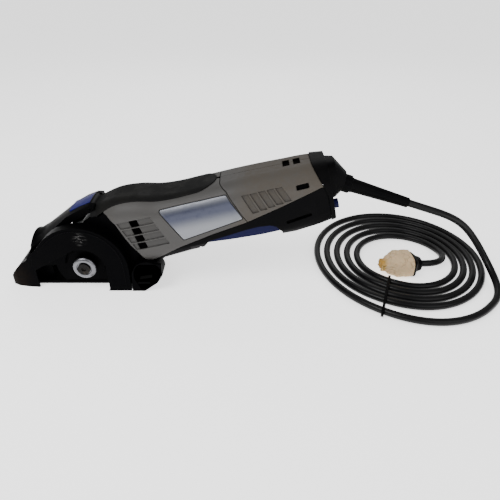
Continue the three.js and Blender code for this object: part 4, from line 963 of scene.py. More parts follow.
@dataclass
class HousingSkin:
    """The rounded housing as a surface of two parameters, and the panels cut from it.

    The first parameter is the distance along the housing. The second runs round half a section,
    from the middle of the bottom (0) over the keel's arc, the flank and the shoulder's arc to the
    middle of the top (1). Sizes and outlines are in the tilted frame.
    """

    reach: float = 242.0
    rise: float = 48.0
    drop: float = 12.0
    half: float = 30.0
    shoulder: float = 17.0
    keel: float = 13.0
    crown: float = 1.1
    bulge: float = 0.5
    seam: float = 0.3
    roll: float = 0.55
    around: float = 150.0
    weld: float = 0.00002
    groove_floor_shade: float = 0.22
    rim_rounds: int = 4
    least_slope: float = 0.25
    stations: tuple = (0.122, 0.198, 0.281, 0.355, 0.434, 0.517, 0.682, 0.843, 0.934, 1.0)
    drops: tuple = (1.0, 1.0, 0.98, 0.86, 0.74, 0.74, 0.92, 1.03, 0.86, 0.66)
    rises: tuple = (1.105, 1.165, 1.13, 1.035, 1.0, 1.005, 1.02, 1.005, 0.995, 0.96)
    halves: tuple = (0.87, 0.97, 1.0, 1.0, 1.0, 1.0, 0.985, 0.967, 0.935, 0.885)
    marks: tuple = (0.0, 0.14, 0.32, 0.62, 0.86, 1.0)

    def point(self, along: Array, turn: Array, proud: Array | float = 0.0) -> Array:
        """Points of the skin, grown outwards by proud.

        Bottom, keel arc, flank, shoulder arc and top follow each other at the marks. The top is
        crowned and the flank bulges by a parabola.

        Args:
            along: the distance along the housing.
            turn: the parameter round the section.
            proud: how far the points stand over the skin.

        Returns:
            Points in millimetres of the tilted frame, on the side of positive y.
        """
        knots = np.array(self.stations) * self.reach
        bottom = -eased(along, knots, np.array(self.drops) * self.drop) - proud
        top = eased(along, knots, np.array(self.rises) * self.rise) + proud
        side = eased(along, knots, np.array(self.halves) * self.half) + proud
        low, high = self.keel + proud, self.shoulder + proud
        share = [np.clip((turn - a) / (b - a), 0, 1) for a, b in zip(self.marks, self.marks[1:])]
        keel_angle = share[1] * np.pi / 2 - np.pi / 2
        shoulder_angle = share[3] * np.pi / 2
        stretches = [turn < mark for mark in self.marks[1:5]]
        y = np.select(
            stretches,
            [(side - low) * share[0], side - low + low * np.cos(keel_angle), side + 0 * turn,
             side - high + high * np.cos(shoulder_angle)],
            (side - high) * (1 - share[4]))
        z = np.select(
            stretches,
            [bottom + 0 * turn, bottom + low + low * np.sin(keel_angle),
             bottom + low + (top - high - bottom - low) * share[2],
             top - high + high * np.sin(shoulder_angle)],
            top + 0 * turn)
        level = np.clip((z - (top + bottom) / 2) / ((top - bottom) / 2), -1, 1)
        upper = ramp(z, top - self.shoulder, top)
        return np.stack([along + 0 * turn, y - self.bulge * level**2 * (y / side),
                         z - self.crown * upper * (y / side) ** 2], axis=-1)

    def outward(self, along: Array, turn: Array) -> Array:
        """Unit normals of the skin, from the cross product of its two slopes.

        Args:
            along: the distance along the housing.
            turn: the parameter round the section.

        Returns:
            Vectors that point out of the housing.
        """
        step_u, step_t = 0.05, 0.0004
        slope_u = self.point(along + step_u, turn) - self.point(along - step_u, turn)
        slope_t = self.point(along, turn + step_t) - self.point(along, turn - step_t)
        normal = np.cross(slope_t, slope_u)
        length = np.linalg.norm(normal, axis=-1, keepdims=True)
        normal = normal / np.maximum(length, 1e-12)
        normal[length[..., 0] < 1e-9] = (0.0, 0.0, 1.0)
        return normal

    def panel(self, name: str, inside: Field, relief: Field, side: int, finish: Material, cut: Cut,
              lining: Material | None = None) -> Item:
        """One panel of one side of the skin, cut along its own edges.

        A regular grid is laid over the skin. Faces whose middle is inside are kept, and the
        vertices on the rim are moved in the two parameters, against the slope of the inside
        field, until they lie on the edge. The edge is then rolled inwards by a quarter circle,
        and the relief is pressed in along the normal.

        Args:
            name: the panel's name.
            inside: signed distance to the panel's edge from x, |y| and z, positive inside.
            relief: how deep the surface is pressed in, in millimetres, from the same values.
            side: -1 for the left, 1 for the right, 0 for both, joined over the top.
            finish: the panel's material.
            cut: the part of the skin that the grid covers, and the panel's wall.
            lining: the material of the wall's inner face and rim.

        Returns:
            The panel as an object.
        """
        cell, around, turns = cut.cell, self.around, cut.turns
        columns = int((cut.span[1] - cut.span[0]) / cell) + 1
        rows = int((turns[1] - turns[0]) * around / cell) + 1
        turn, along = np.meshgrid(np.linspace(*turns, rows), np.linspace(*cut.span, columns), indexing="ij")

        def edge(u: Array, t: Array) -> Array:
            """The inside field at two parameters."""
            p = self.point(u, t, cut.proud)
            return inside(p[..., 0], p[..., 1], p[..., 2])

        faces = quads(rows, columns)
        middle = edge(along, turn).reshape(-1)[faces].mean(axis=1)
        kept = faces[middle > 0]
        rim = np.intersect1d(kept, faces[middle <= 0])
        u, t = along.reshape(-1).copy(), turn.reshape(-1).copy()
        ru, rt = u[rim], t[rim]
        step_u, step_t = 0.05, 0.05 / around
        for _ in range(self.rim_rounds):
            here = edge(ru, rt)
            slope_u = (edge(ru + step_u, rt) - edge(ru - step_u, rt)) / (2 * step_u)
            slope_t = (edge(ru, rt + step_t) - edge(ru, rt - step_t)) / (2 * step_t) / around
            size = np.maximum(slope_u**2 + slope_t**2, self.least_slope)
            ru = ru - np.clip(here * slope_u / size, -cell, cell)
            rt = rt - np.clip(here * slope_t / size, -cell, cell) / around
        u[rim], t[rim] = ru, np.clip(rt, turns[0], turns[1])
        used, faces = np.unique(kept, return_inverse=True)
        faces = faces.reshape(-1, 4)
        u, t = u[used], t[used]
        points = self.point(u, t, cut.proud)
        depth = edge(u, t).clip(0, self.roll)
        rolled = self.roll - np.sqrt(np.maximum(self.roll**2 - (self.roll - depth) ** 2, 0))
        carved = relief(points[:, 0], points[:, 1], points[:, 2])
        share = carved / max(float(carved.max()), 1e-6)
        points = points - self.outward(u, t) * (carved + rolled)[:, None]
        ways = (-1, 1) if side == 0 else (side,)
        halves = [points * (1, way, 1) for way in ways]
        turned = [(faces if way < 0 else faces[:, ::-1]) + i * len(u) for i, way in enumerate(ways)]
        item = mesh_item(name, np.vstack(halves), np.vstack(turned).tolist(), Frame.TILTED, finish,
                         closed=False)
        # Painted shade for the grooves: darkest half way down their walls, and a little on their floors
        dark = np.tile(4 * share * (1 - share) + self.groove_floor_shade * share, len(ways)).astype(np.float32)
        item.data.attributes.new(GROOVE_SHADE_ATTRIBUTE, "FLOAT", "POINT").data.foreach_set("value", dark)
        if side == 0:
            turned_out(item.data, self.weld)
            item.data.shade_smooth()
        return walled(item, cut.wall, lining)


@dataclass
class Housing:
    """The grey panels, the dark sheets behind their openings, which are painted shade, the bare plate and the
    soft grip.

    Lines are given in shares of the housing's reach and rise.
    """

    finishes: Finishes
    skin: HousingSkin = field(default_factory=HousingSkin)
    front_line: tuple = ((0.2555, -0.2), (0.2326, 0.08), (0.213, 0.28), (0.2025, 0.44), (0.186, 0.76),
                         (0.1636, 0.956), (0.1413, 1.054), (0.125, 1.4))
    split_line: tuple = ((0.4, 0.021), (0.534, 0.15), (0.67, 0.244), (0.826, 0.427), (0.963, 0.6))
    seam_line: tuple = ((0.59, 1.3), (0.601, 1.014), (0.6225, 0.906), (0.6347, 0.77), (0.6459, 0.61),
                        (0.6566, 0.444), (0.673, 0.26))
    tail_line: tuple = ((0.974, 0.6), (0.958, 0.84), (0.946, 1.0), (0.93, 1.3))
    plate_corners: tuple = ((0.364, 0.85), (0.6226, 0.86), (0.6585, 0.33), (0.417, 0.165))
    plate_round: float = 1.5
    plate_deep: float = 1.1
    plate_wall: tuple = (-0.2, 0.3)
    grip_front: float = 26.0
    grip_rear: float = 141.0
    grip_half_front: float = 21.5
    grip_half_rear: float = 18.5
    grip_base: float = 41.5
    grip_lap: float = 1.5
    saddle_front: float = 30.0
    saddle_long: float = 60.0
    saddle_deep: float = 0.35
    vent_count: int = 4
    vent_low: float = 6.8
    vent_high: float = 38.0
    vent_hole: float = 7.6
    vent_round: float = 0.4
    vent_lean: float = 0.35
    vent_start: float = 58.0
    groove_low: float = 56.0
    groove_high: float = 46.5
    groove_long: float = 32.0
    groove_deep: float = 1.25
    groove_ridge: float = 1.3
    rib_count: int = 5
    rib_start: float = 163.5
    rib_span: float = 38.0
    rib_lean: float = 6.0
    rib_low: float = 19.5
    rib_high: float = 38.0
    rib_climb: float = 5.0
    rib_wide: float = 1.6
    rib_deep: float = 1.2
    top_count: int = 2
    top_front: float = 204.0
    top_pitch: float = 9.7
    top_size: float = 6.0
    top_half: float = 7.0
    top_floor: float = 30.0
    slot_at: tuple = (217.5, 34.0)
    slot_half: tuple = (4.6, 1.3)
    slot_round: float = 1.0
    liner_span: tuple = (201.0, 231.0)
    liner_floor: float = 25.0
    front_cut: Cut = Cut((35, 170), (0.16, 0.98), 0.4)
    rear_cut: Cut = Cut((145, 241), (0.3, 1.0), 0.4)
    liner_cut: Cut = Cut((200, 232), (0.5, 1.0), 1.2, -2.6, 0.5)
    plate_cut: Cut = Cut((80, 170), (0.28, 0.9), proud=-0.15, wall=0.6)
    grip_cut: Cut = Cut((24, 143), (0.5, 1.0), proud=0.8, wall=1.6)

    def line(self, pairs: Outline) -> Array:
        """A dividing line in millimetres of the tilted frame."""
        return np.array(pairs, float) * (self.skin.reach, self.skin.rise)

    def grip_inside(self, x: Array, y: Array, z: Array, margin: float = 0.0) -> Array:
        """Signed distance, seen from above, to the outline of the grip, which is round behind.

        Below its base, the distance is to the base.

        Args:
            x, y, z: places in the tilted frame, with y taken from the middle plane outwards.
            margin: how far the outline is drawn in.

        Returns:
            The distance in millimetres, positive inside.
        """
        half = self.grip_half_rear
        centre = self.grip_rear - half
        slope = (self.grip_half_front - half) / (centre - self.grip_front)
        width = np.clip(half + (centre - x) * slope, half, self.grip_half_front)
        body = np.where(x < centre, width - y, half - np.hypot(x - centre, y))
        return np.minimum(body - margin, z - self.grip_base)

    def grip_edge(self, x: Array, y: Array, z: Array) -> Array:
        """Signed distance to the grip's own edge, which laps over the rim of the place left for it."""
        return self.grip_inside(x, y, z + self.grip_lap, -self.grip_lap)

    def grip_relief(self, x: Array, y: Array, z: Array) -> Array:
        """A shallow saddle behind the grip's front end, as a cosine hump along it."""
        share = np.clip((x - self.saddle_front) / self.saddle_long, 0, 1)
        return self.saddle_deep * (0.5 - 0.5 * np.cos(2 * np.pi * share))

    def vents(self) -> list[tuple[float, float]]:
        """Lowest and highest level of each front groove.

        Returns:
            The levels in pairs, from the lowest groove up.
        """
        pitch = (self.vent_high - self.vent_low) / self.vent_count
        lows = [self.vent_low + i * pitch + self.groove_ridge / 2 for i in range(self.vent_count)]
        return [(low, low + pitch - self.groove_ridge) for low in lows]

    def groove_start(self, level: float) -> float:
        """Where a front groove begins at a level."""
        share = (level - self.vent_low) / (self.vent_high - self.vent_low)
        return self.groove_low + (self.groove_high - self.groove_low) * share

    def outside_vents(self, x: Array, z: Array) -> Array:
        """Distance to the nearest air hole, each as high as its groove and leaning with it.

        Args:
            x, z: places in the tilted frame.

        Returns:
            The distance in millimetres, negative in a hole.
        """
        value = np.full(np.shape(x), np.inf)
        for low, high in self.vents():
            lean = (self.groove_start(low) - self.groove_start(high)) * self.vent_lean
            hole = slanted(self.vent_start + lean, self.vent_start, self.vent_hole, low, high)
            value = np.minimum(value, -rounded_outline(x, z, hole, self.vent_round))
        return value

    def front_inside(self, x: Array, y: Array, z: Array) -> Array:
        """Signed distance to the front panel's edge, without the grip's place and the air holes.

        Args:
            x, y, z: places in the tilted frame, with y taken from the middle plane outwards.

        Returns:
            The distance in millimetres, positive inside.
        """
        gap = self.skin.seam / 2
        outline = np.vstack([self.line(self.front_line), self.line(self.seam_line) - (gap, 0),
                             self.line(self.split_line[:3])[::-1] + (0, gap)])
        value = np.minimum(inside_outline(x, z, outline), y - gap)
        value = np.minimum(value, -self.grip_inside(x, y, z) - gap)
        return np.minimum(value, self.outside_vents(x, z))

    def front_relief(self, x: Array, y: Array, z: Array) -> Array:
        """Depth of the front grooves.

        Args:
            x, z: places in the tilted frame. y, taken from the middle plane outwards, is not used.

        Returns:
            The depth in millimetres.
        """
        bands = [slanted(self.groove_start(low), self.groove_start(high), self.groove_long, low, high)
                 for low, high in self.vents()]
        return pressed_in(x, z, bands, self.groove_deep)

    def plate_inside(self, x: Array, y: Array, z: Array) -> Array:
        """Signed distance to the bare plate's edge."""
        return rounded_outline(x, z, self.line(self.plate_corners), self.plate_round)

    def plate_relief(self, x: Array, y: Array, z: Array) -> Array:
        """Depth of the front grooves, and of the recess that the bare plate lies in."""
        recess = ramp(self.plate_inside(x, y, z) + self.skin.seam, *self.plate_wall) * self.plate_deep
        return np.maximum(self.front_relief(x, y, z), recess)

    def rear_inside(self, x: Array, y: Array, z: Array) -> Array:
        """Signed distance to the rear cover's edge, without its top vents and its slot.

        Args:
            x, y, z: places in the tilted frame, with y taken from the middle plane outwards.

        Returns:
            The distance in millimetres, positive inside.
        """
        gap = self.skin.seam / 2
        outline = np.vstack([self.line(self.split_line[2:]) + (0, gap), self.line(self.tail_line) - (gap, 0),
                             self.line(self.seam_line) + (gap, 0)])
        value = np.minimum(inside_outline(x, z, outline), y - gap)
        for i in range(self.top_count):
            middle = self.top_front + i * self.top_pitch + self.top_size / 2
            across = np.abs(x - middle) - self.top_size / 2
            vent = np.maximum(across, y - self.top_half)
            value = np.minimum(value, np.where(z > self.top_floor, vent, np.inf))
        past_x = np.maximum(np.abs(x - self.slot_at[0]) - self.slot_half[0], 0)
        past_z = np.maximum(np.abs(z - self.slot_at[1]) - self.slot_half[1], 0)
        return np.minimum(value, np.hypot(past_x, past_z) - self.slot_round)

    def rear_relief(self, x: Array, y: Array, z: Array) -> Array:
        """Depth of the fields between the upright ribs.

        Args:
            x, z: places in the tilted frame. y, taken from the middle plane outwards, is not used.

        Returns:
            The depth in millimetres.
        """
        pitch = self.rib_span / self.rib_count
        starts = [self.rib_start + i * pitch for i in range(self.rib_count)]
        lows = [self.rib_low + self.rib_climb * i / self.rib_count for i in range(self.rib_count)]
        bands = [slanted(start + self.rib_lean, start, pitch - self.rib_wide, low, self.rib_high)
                 for start, low in zip(starts, lows)]
        return pressed_in(x, z, bands, self.rib_deep)

    def liner_inside(self, x: Array, y: Array, z: Array) -> Array:
        """Signed distance to the edge of the dark sheet behind the rear cover's openings, which is painted
        shade.
        """
        ends = np.minimum(x - self.liner_span[0], self.liner_span[1] - x)
        return np.minimum(ends, np.minimum(z - self.liner_floor, y - self.skin.seam))

    @staticmethod
    def plain(x: Array, y: Array, z: Array) -> Array:
        """No relief."""
        return np.zeros(np.shape(x))

    def build(self) -> None:
        """Makes every panel, and hides the CAD node that it stands for where there is one."""
        panel, kit = self.skin.panel, self.finishes
        # The grey panels are lined near black inside and on their rims: painted shade in their openings and
        # seams
        for side, word in SIDES:
            relief = self.plate_relief if side < 0 else self.front_relief
            front = panel(f"front_panel_{word}", self.front_inside, relief, side, kit.grey, self.front_cut,
                          kit.inner)
            laid(front, "housing", "grey_plastic", f"front_housing_{word}")
            rear = panel(f"rear_panel_{word}", self.rear_inside, self.rear_relief, side, kit.grey,
                         self.rear_cut, kit.inner)
            laid(rear, "housing", "grey_plastic", f"rear_cover_{word}")
        # Near-black sheets inside the rear cover's top vents and slot: painted shade
        for side, word in SIDES:
            liner = panel(f"slot_liner_{word}", self.liner_inside, self.plain, side, kit.inner,
                          self.liner_cut)
            laid(liner, "housing", "black_plastic")
        plate = panel("bare_plate", self.plate_inside, self.plain, -1, kit.plate, self.plate_cut)
        laid(plate, "housing", "silver_plate", "name_plate")
        grip = panel("soft_grip", self.grip_edge, self.grip_relief, 0, kit.grip, self.grip_cut)
        laid(grip, "housing", "grip_rubber", "top_grip")


# Cord and paper


@dataclass
class CordRun:
    """The supply cord from its boot over the loose coil to the plug, and the paper on its pins."""

    finishes: Finishes
    radius: float = 3.5
    lead: tuple = (
        (307.9, 0, 79.03), (320, 0.1, 75), (332.4, 0.7, 70.7), (343.4, 1.9, 66.5), (353.9, 3.7, 61.5),
        (363.7, 5.6, 55.4), (372.8, 6.8, 47.9), (380.8, 6.6, 39.3), (387.7, 3.8, 30.2), (393.1, -2, 21.6),
        (396.7, -10.5, 14.4), (398.3, -20.9, 9.1), (397.6, -32.2, 5.8), (394, -43.2, 4.1),
        (387.7, -53.1, 3.5), (379.6, -61.6, 3.5))
    tail: tuple = (
        (360.51, 44.26, 3.5), (362.48, 39.55, 3.62), (363.7, 34.61, 3.96), (364.04, 29.52, 4.48),
        (363.47, 24.46, 5.12), (362.01, 19.57, 5.85), (359.7, 15.03, 6.62), (356.63, 10.96, 7.4),
        (352.89, 7.5, 8.13), (348.59, 4.77, 8.77), (343.87, 2.83, 9.29), (338.89, 1.77, 9.63),
        (333.8, 1.4, 9.75))
    coil_centre: tuple = (317.0, 27.0)
    coil_half: tuple = (90.0, 102.0)
    coil_turns: float = 4.8
    coil_start: float = -50.0
    narrow: float = 8.2
    wide: float = 11.0
    narrow_at: float = -45.0
    coil_round: float = 2.2
    stray: float = 14.0
    stray_share: float = 0.5
    stray_turns: float = 0.35
    tie_at: float = -115.0
    tie_lift: float = 1.15
    lift_sharp: float = 10.0
    turn_steps: int = 44
    spacing: float = 3.2
    plug_at: tuple = (333.4, 1.4)
    plug_turn: float = 183.0
    wrap_span: tuple = (12.2, 42.9)
    wrap_half: tuple = (14.8, 10.9)
    wrap_up: float = 10.9
    wrap_fall: float = 2.2
    wrap_narrow_shares: tuple = (0.5, 0.62)
    wrap_draw: float = 1.6
    wrap_floor: float = 0.25
    crease_share: float = 0.05
    crease_tip_share: float = 2.2
    wrap_square: float = 3.6
    wrap_grid: tuple = (72, 120)
    sides: int = 16

    def coil(self) -> Array:
        """Middle line of the coil, a spiral whose pitch and lift depend on the angle.

        Returns:
            Standing points in millimetres, from the outer turn inwards.
        """
        turn = np.linspace(0, self.coil_turns, int(self.coil_turns * self.turn_steps))[1:-1]
        angle = math.radians(self.coil_start) - turn * 2 * np.pi
        spread = (1 - np.cos(angle - math.radians(self.narrow_at))) / 2
        pitch = self.narrow + (self.wide - self.narrow) * spread
        fade = np.maximum(0, 1 - turn / self.stray_turns)
        stray = self.stray * fade * fade * (3 - 2 * fade)
        half_x = self.coil_half[0] - turn * pitch + stray * self.stray_share
        half_y = self.coil_half[1] - turn * (pitch + self.coil_round) + stray
        lift = np.maximum(0, np.cos(angle - math.radians(self.tie_at))) ** self.lift_sharp * self.tie_lift
        return np.stack([self.coil_centre[0] + half_x * np.cos(angle),
                         self.coil_centre[1] + half_y * np.sin(angle), self.radius + lift], axis=1)

    def rings(self, route: Array) -> Array:
        """The rings of a round tube along a route, carried without twist.

        Args:
            route: standing points in millimetres.

        Returns:
            One ring of points for each point of the route.
        """
        slope = unit(np.gradient(route, axis=0))
        side = unit(np.cross(slope, (0.0, 0.0, 1.0)))
        over = np.cross(side, slope)
        angle = np.linspace(0, 2 * np.pi, self.sides, endpoint=False)[None, :, None]
        return route[:, None] + self.radius * (np.cos(angle) * side[:, None] + np.sin(angle) * over[:, None])

    def wrap(self) -> None:
        """The crumpled paper round the plug's pins.

        It is a flattened tube: each section is a squarish ellipse whose half width and half
        height fall off towards the tip, and whose edge is pressed in by creases, sums of folded
        sines along and round it. Both ends are closed by flat caps.
        """
        rows, columns = self.wrap_grid
        s, a = np.meshgrid(np.linspace(0, 1, rows), np.linspace(0, 2 * np.pi, columns, endpoint=False),
                           indexing="ij")
        fall = ramp(s, 0.5, 1.0)
        wide = self.wrap_half[0] * (1 - self.wrap_narrow_shares[0] * fall)
        high = self.wrap_half[1] * (1 - self.wrap_narrow_shares[1] * fall)
        creases = (0.5 * (1 - np.abs(np.sin(4.5 * a + 3.2 * s + 0.6 * np.sin(7 * s))))
                   + 0.3 * (1 - np.abs(np.sin(8.0 * a - 9.0 * s + np.sin(3 * a))))
                   + 0.35 * np.abs(np.sin(11.0 * s + 2.0 * np.sin(2 * a))) ** 3
                   + 0.2 * np.abs(np.sin(23.0 * s + 3.0 * a)) ** 2)
        press = 1 - self.crease_share * creases * (1 + self.crease_tip_share * ramp(s, 0.4, 0.8))
        power = self.wrap_square
        square = (np.abs(np.cos(a)) ** power + np.abs(np.sin(a)) ** power) ** (-1 / power)
        first, last = self.wrap_span
        along = first + (last - first) * s - self.wrap_draw * creases * fall
        across = wide * np.cos(a) * square * press
        up = self.wrap_up - self.wrap_fall * fall + high * np.sin(a) * square * press
        turn = math.radians(self.plug_turn)
        points = np.stack([self.plug_at[0] + along * math.cos(turn) - across * math.sin(turn),
                           self.plug_at[1] + along * math.sin(turn) + across * math.cos(turn),
                           np.maximum(up, self.wrap_floor)], axis=-1)
        item = mesh_item("paper_wrap", points, tube_faces(rows, columns), Frame.STANDING, self.finishes.paper,
                         sharp=38.0)
        laid(item, "housing", "paper", "plug_wrap")

    def build(self) -> None:
        self.wrap()
        route = evened(evened(np.vstack([self.lead, self.coil(), self.tail]), self.spacing), self.spacing)
        cord = mesh_item("supply_cord", self.rings(route), tube_faces(len(route), self.sides), Frame.STANDING,
                         self.finishes.cord)
        laid(cord, "housing", "cord_rubber", "cord_lead", "cord_coil", "cord_tail")
        path = STANCE.metres(route, Frame.STANDING)


# Pieces kept from the solids, with rounded edges


class Finish(Enum):
    """What a rounded piece is made of: its material's name here, and its slot in the record."""

    GUARD = ("guard", "black_plastic")
    DUSTY = ("dusty", "black_plastic")
    BLACK = ("black", "black_plastic")
    BLUE = ("blue", "blue_plastic")
    LEVER = ("lever", "blue_plastic")
    BLACKENED = ("dark_steel", "dark_steel")


class Shaping(Enum):
    """How the copy of a solid is worked further."""

    KEPT = "kept"
    ARCHED = "arched"
    SHORTENED = "shortened"


@dataclass(frozen=True)
class RoundedPiece:
    """One solid whose edges are rounded for looks."""

    node: str
    name: str
    body: str
    finish: Finish
    width: float
    segments: int = 3
    angle: float = 32.0
    shaping: Shaping = Shaping.KEPT


@dataclass(frozen=True)
class FootShape:
    """The rounded top of the foot's arm and nose."""

    arm_top: tuple = ((-68.9, 19.6), (-62.7, 27.4), (-58.7, 32.8), (-55.7, 37.3), (-54.3, 41.3),
                      (-50.4, 47.8), (-48.05, 50.5), (-36.97, 57.07), (-24.41, 66.11), (-16.9, 71.4),
                      (-11.94, 74.89), (-0.23, 81.38), (10.0, 85.3), (15.5, 85.13))
    arm_half: float = 19.0
    arch: float = 8.0
    arch_rear: float = 2.0
    arch_start: tuple = (-66.0, -52.0)
    arch_end: tuple = (-44.0, -28.0)
    roof: float = 5.0
    roof_soft_share: float = 0.6
    nose_roof: float = 10.0
    roof_end: tuple = (-52.0, -44.0)
    nose_rear: float = -48.0
    nose_flank: float = -19.8
    nose_share: float = 0.5
    pin_half: float = 13.0

    def arched(self, places: Array) -> Array:
        """Lets the roof of arm and nose fall to its sides by a parabola of y.

        Only points less than the roof's thickness under the top line fall. The fall fades in
        over the nose and is lower at the lever's hinge. The nose's near flank keeps a share of
        its distance from the arm.

        Args:
            places: standing points in millimetres, in rows.

        Returns:
            The moved points.
        """
        x, y, z = places.T
        line = np.interp(x, *np.array(self.arm_top).T)
        roof = self.roof + (self.nose_roof - self.roof) * (1 - ramp(x, *self.roof_end))
        share = np.minimum(np.abs(y) / self.arm_half, 1)
        arch = self.arch + (self.arch_rear - self.arch) * ramp(x, *self.arch_end)
        upper = ramp(z, line - roof, line - roof * self.roof_soft_share)
        fall = arch * share**2 * upper * ramp(x, *self.arch_start)
        near = (x < self.nose_rear) & (y < self.nose_flank)
        drawn = np.where(near, self.nose_flank + (y - self.nose_flank) * self.nose_share, y)
        return np.stack([x, drawn, z - fall], axis=1)

    def shortened(self, places: Array) -> Array:
        """Keeps a pin's ends under the arched roof."""
        x, y, z = places.T
        return np.stack([x, np.clip(y, -self.pin_half, self.pin_half), z], axis=1)


@dataclass
class HardParts:
    """The guard, the foot, the lever, the paddle and the other moulded or turned pieces."""

    finishes: Finishes
    foot: FootShape = field(default_factory=FootShape)
    pieces: tuple = (
        RoundedPiece("blade_guard", "upper_guard", "housing", Finish.GUARD, 0.7),
        RoundedPiece("gear_case", "gear_head", "housing", Finish.GUARD, 0.7),
        RoundedPiece("gear_cover", "gear_boss", "housing", Finish.GUARD, 0.5),
        RoundedPiece("foot", "plunge_foot", "foot", Finish.DUSTY, 0.6, shaping=Shaping.ARCHED),
        RoundedPiece("depth_lever", "depth_lever_blue", "depth_lever", Finish.LEVER, 0.6,
                     shaping=Shaping.ARCHED),
        RoundedPiece("lever_pin", "lever_hinge_pin", "foot", Finish.BLACKENED, 0.3,
                     shaping=Shaping.SHORTENED),
        RoundedPiece("trigger", "switch_paddle", "trigger", Finish.BLUE, 0.8),
        RoundedPiece("lock_off", "lock_off_nub", "lock_off", Finish.BLACK, 0.4),
        RoundedPiece("tail_cap", "tail_block", "housing", Finish.BLACK, 0.6),
        RoundedPiece("underbody_left", "belly_left", "housing", Finish.BLACK, 0.4),
        RoundedPiece("underbody_right", "belly_right", "housing", Finish.BLACK, 0.4),
        RoundedPiece("blade_screw", "socket_screw", "spindle", Finish.BLACKENED, 0.3),
        RoundedPiece("hex_key", "stowed_key", "hex_key", Finish.BLUE, 0.4),
        RoundedPiece("plug_body", "plug_shell", "housing", Finish.BLACK, 2.2, 4),
        RoundedPiece("cord_boot", "strain_relief", "housing", Finish.BLACK, 0.4),
        RoundedPiece("cord_tie", "wire_tie", "housing", Finish.BLACK, 0.2),
        RoundedPiece("spindle_lock_button", "lock_button_cap", "lock_button", Finish.BLACK, 0.4),
    )
    arch_slices: range = range(-18, 19, 3)
    washer_profile: tuple = ((2.5, -27.5), (11.0, -27.5), (11.3, -27.8), (11.3, -28.6), (11.1, -29.4),
                             (10.6, -30.1), (9.9, -30.6), (9.0, -30.95), (8.1, -31.1), (7.3, -31.1),
                             (6.9, -30.9), (6.75, -30.5), (6.7, -29.95), (2.5, -29.9))
    washer_steps: int = 96
    fin_line: tuple = ((-19.0, 25.6), (-12.1, 30.3), (1.0, 33.1), (5.8, 36.5), (9.7, 39.8), (14.0, 42.7),
                       (20.3, 45.6))
    fin_raise: tuple = (0.2, 1.2, 2.0, 2.0, 1.8, 1.2, 0.2)
    fin_sunk: float = 1.0
    fin_steps: int = 29
    fin_sides: tuple = (12.5, 15.6)
    ridge_line: tuple = ((-42.5, 41.5), (-33.3, 50.8), (-25.9, 57.6), (-16.3, 63.3), (-6.9, 65.6),
                         (2.2, 65.6), (11.9, 63.6), (21.3, 58.8), (30.2, 50.0), (36.4, 38.4), (38.6, 21.9),
                         (38.6, 6.0))
    ridge_radius: float = 0.9
    ridge_face: float = -33.0
    ridge_sunk: float = 0.45
    ridge_spacing: float = 0.82
    ridge_sides: int = 12
    rib_line: tuple = ((-60.0, 2.0), (-38.0, 2.0), (-38.0, 14.0), (-42.0, 30.0), (-46.0, 38.0), (-52.0, 38.0))
    rib_sides: tuple = (-12.5, -10.5)
    cheek_line: tuple = ((48.5, 9.5), (46.6, 14.0), (46.2, 19.0), (47.4, 24.5), (50.0, 28.6), (53.5, 30.8),
                         (74.6, 30.8), (73.6, 18.2), (68.6, 9.6), (58.0, 2.4), (52.0, 1.6))
    cheek_sides: tuple = (-33.0, -30.6)
    recess_line: tuple = ((52.4, 13.6), (64.6, 15.6), (65.0, 19.4), (53.0, 17.2))
    recess_sides: tuple = (-33.15, -32.6)

    def washer(self) -> None:
        """The clamping washer: its rounded section carried round the spindle axis."""
        angle = np.linspace(0, 2 * np.pi, self.washer_steps, endpoint=False)[:, None]
        reach, across = np.array(self.washer_profile).T[:, None]
        points = np.stack([reach * np.cos(angle), across + 0 * angle, reach * np.sin(angle)], axis=-1)
        faces = quads(*points.shape[:2], round_rows=True, round_columns=True).tolist()
        item = mesh_item("outer_washer", points, faces, Frame.TILTED, self.finishes.steel)
        laid(item, "spindle", "steel", "clamp_washer")

    def fin(self) -> None:
        """A low fin along the top of the gear head, which closes the view under the foot's arm.

        Its upper edge is the head's top line raised by a hump, and its lower edge runs a little
        under that line.
        """
        along, up = np.array(self.fin_line).T
        at = np.linspace(along[0], along[-1], self.fin_steps)
        base = np.interp(at, along, up)
        top = np.stack([at, base + np.interp(at, along, self.fin_raise)], axis=1)
        foot = np.stack([at, base - self.fin_sunk], axis=1)
        item = flat_piece("head_fin", np.concatenate([top, foot[::-1]]), self.fin_sides, Frame.TILTED,
                          self.finishes.guard, 0.4)
        laid(item, "housing", "black_plastic")

    def ridge(self) -> None:
        """The soft ridge on the guard's face: a round bead along a smooth line, half sunk in.

        The bead thins out at both ends.
        """
        line = evened(np.array(self.ridge_line), self.ridge_spacing)
        slope = unit(np.gradient(line, axis=0))
        angle = np.linspace(0, 2 * np.pi, self.ridge_sides, endpoint=False)
        thin = np.sqrt(np.clip(1 - np.abs(np.linspace(-1, 1, len(line))) ** 8, 0.01, 1))
        size = self.ridge_radius * thin[:, None]
        points = np.stack([line[:, :1] - slope[:, 1:] * size * np.cos(angle),
                           self.ridge_face - self.ridge_sunk * size * np.sin(angle),
                           line[:, 1:] + slope[:, :1] * size * np.cos(angle)], axis=-1)
        item = mesh_item("guard_ridge", points, tube_faces(len(line), len(angle)), Frame.STANDING,
                         self.finishes.guard, sharp=180.0)
        laid(item, "housing", "black_plastic")

    def foot_plates(self) -> None:
        """The foot's inner rib behind its nose, the squared cheek outside its heel, and a dark plate on the
        cheek that is painted shade of a recess.
        """
        dusty, inner = self.finishes.dusty, self.finishes.inner
        for name, line, sides, finish, width in (
                ("nose_rib", self.rib_line, self.rib_sides, dusty, 0.3),
                ("heel_cheek", self.cheek_line, self.cheek_sides, dusty, 0.6),
                # A near-black plate a little proud of the cheek: painted shade of a recess
                ("heel_recess", self.recess_line, self.recess_sides, inner, 0.2)):
            laid(flat_piece(name, line, sides, Frame.STANDING, finish, width), "foot", "black_plastic")

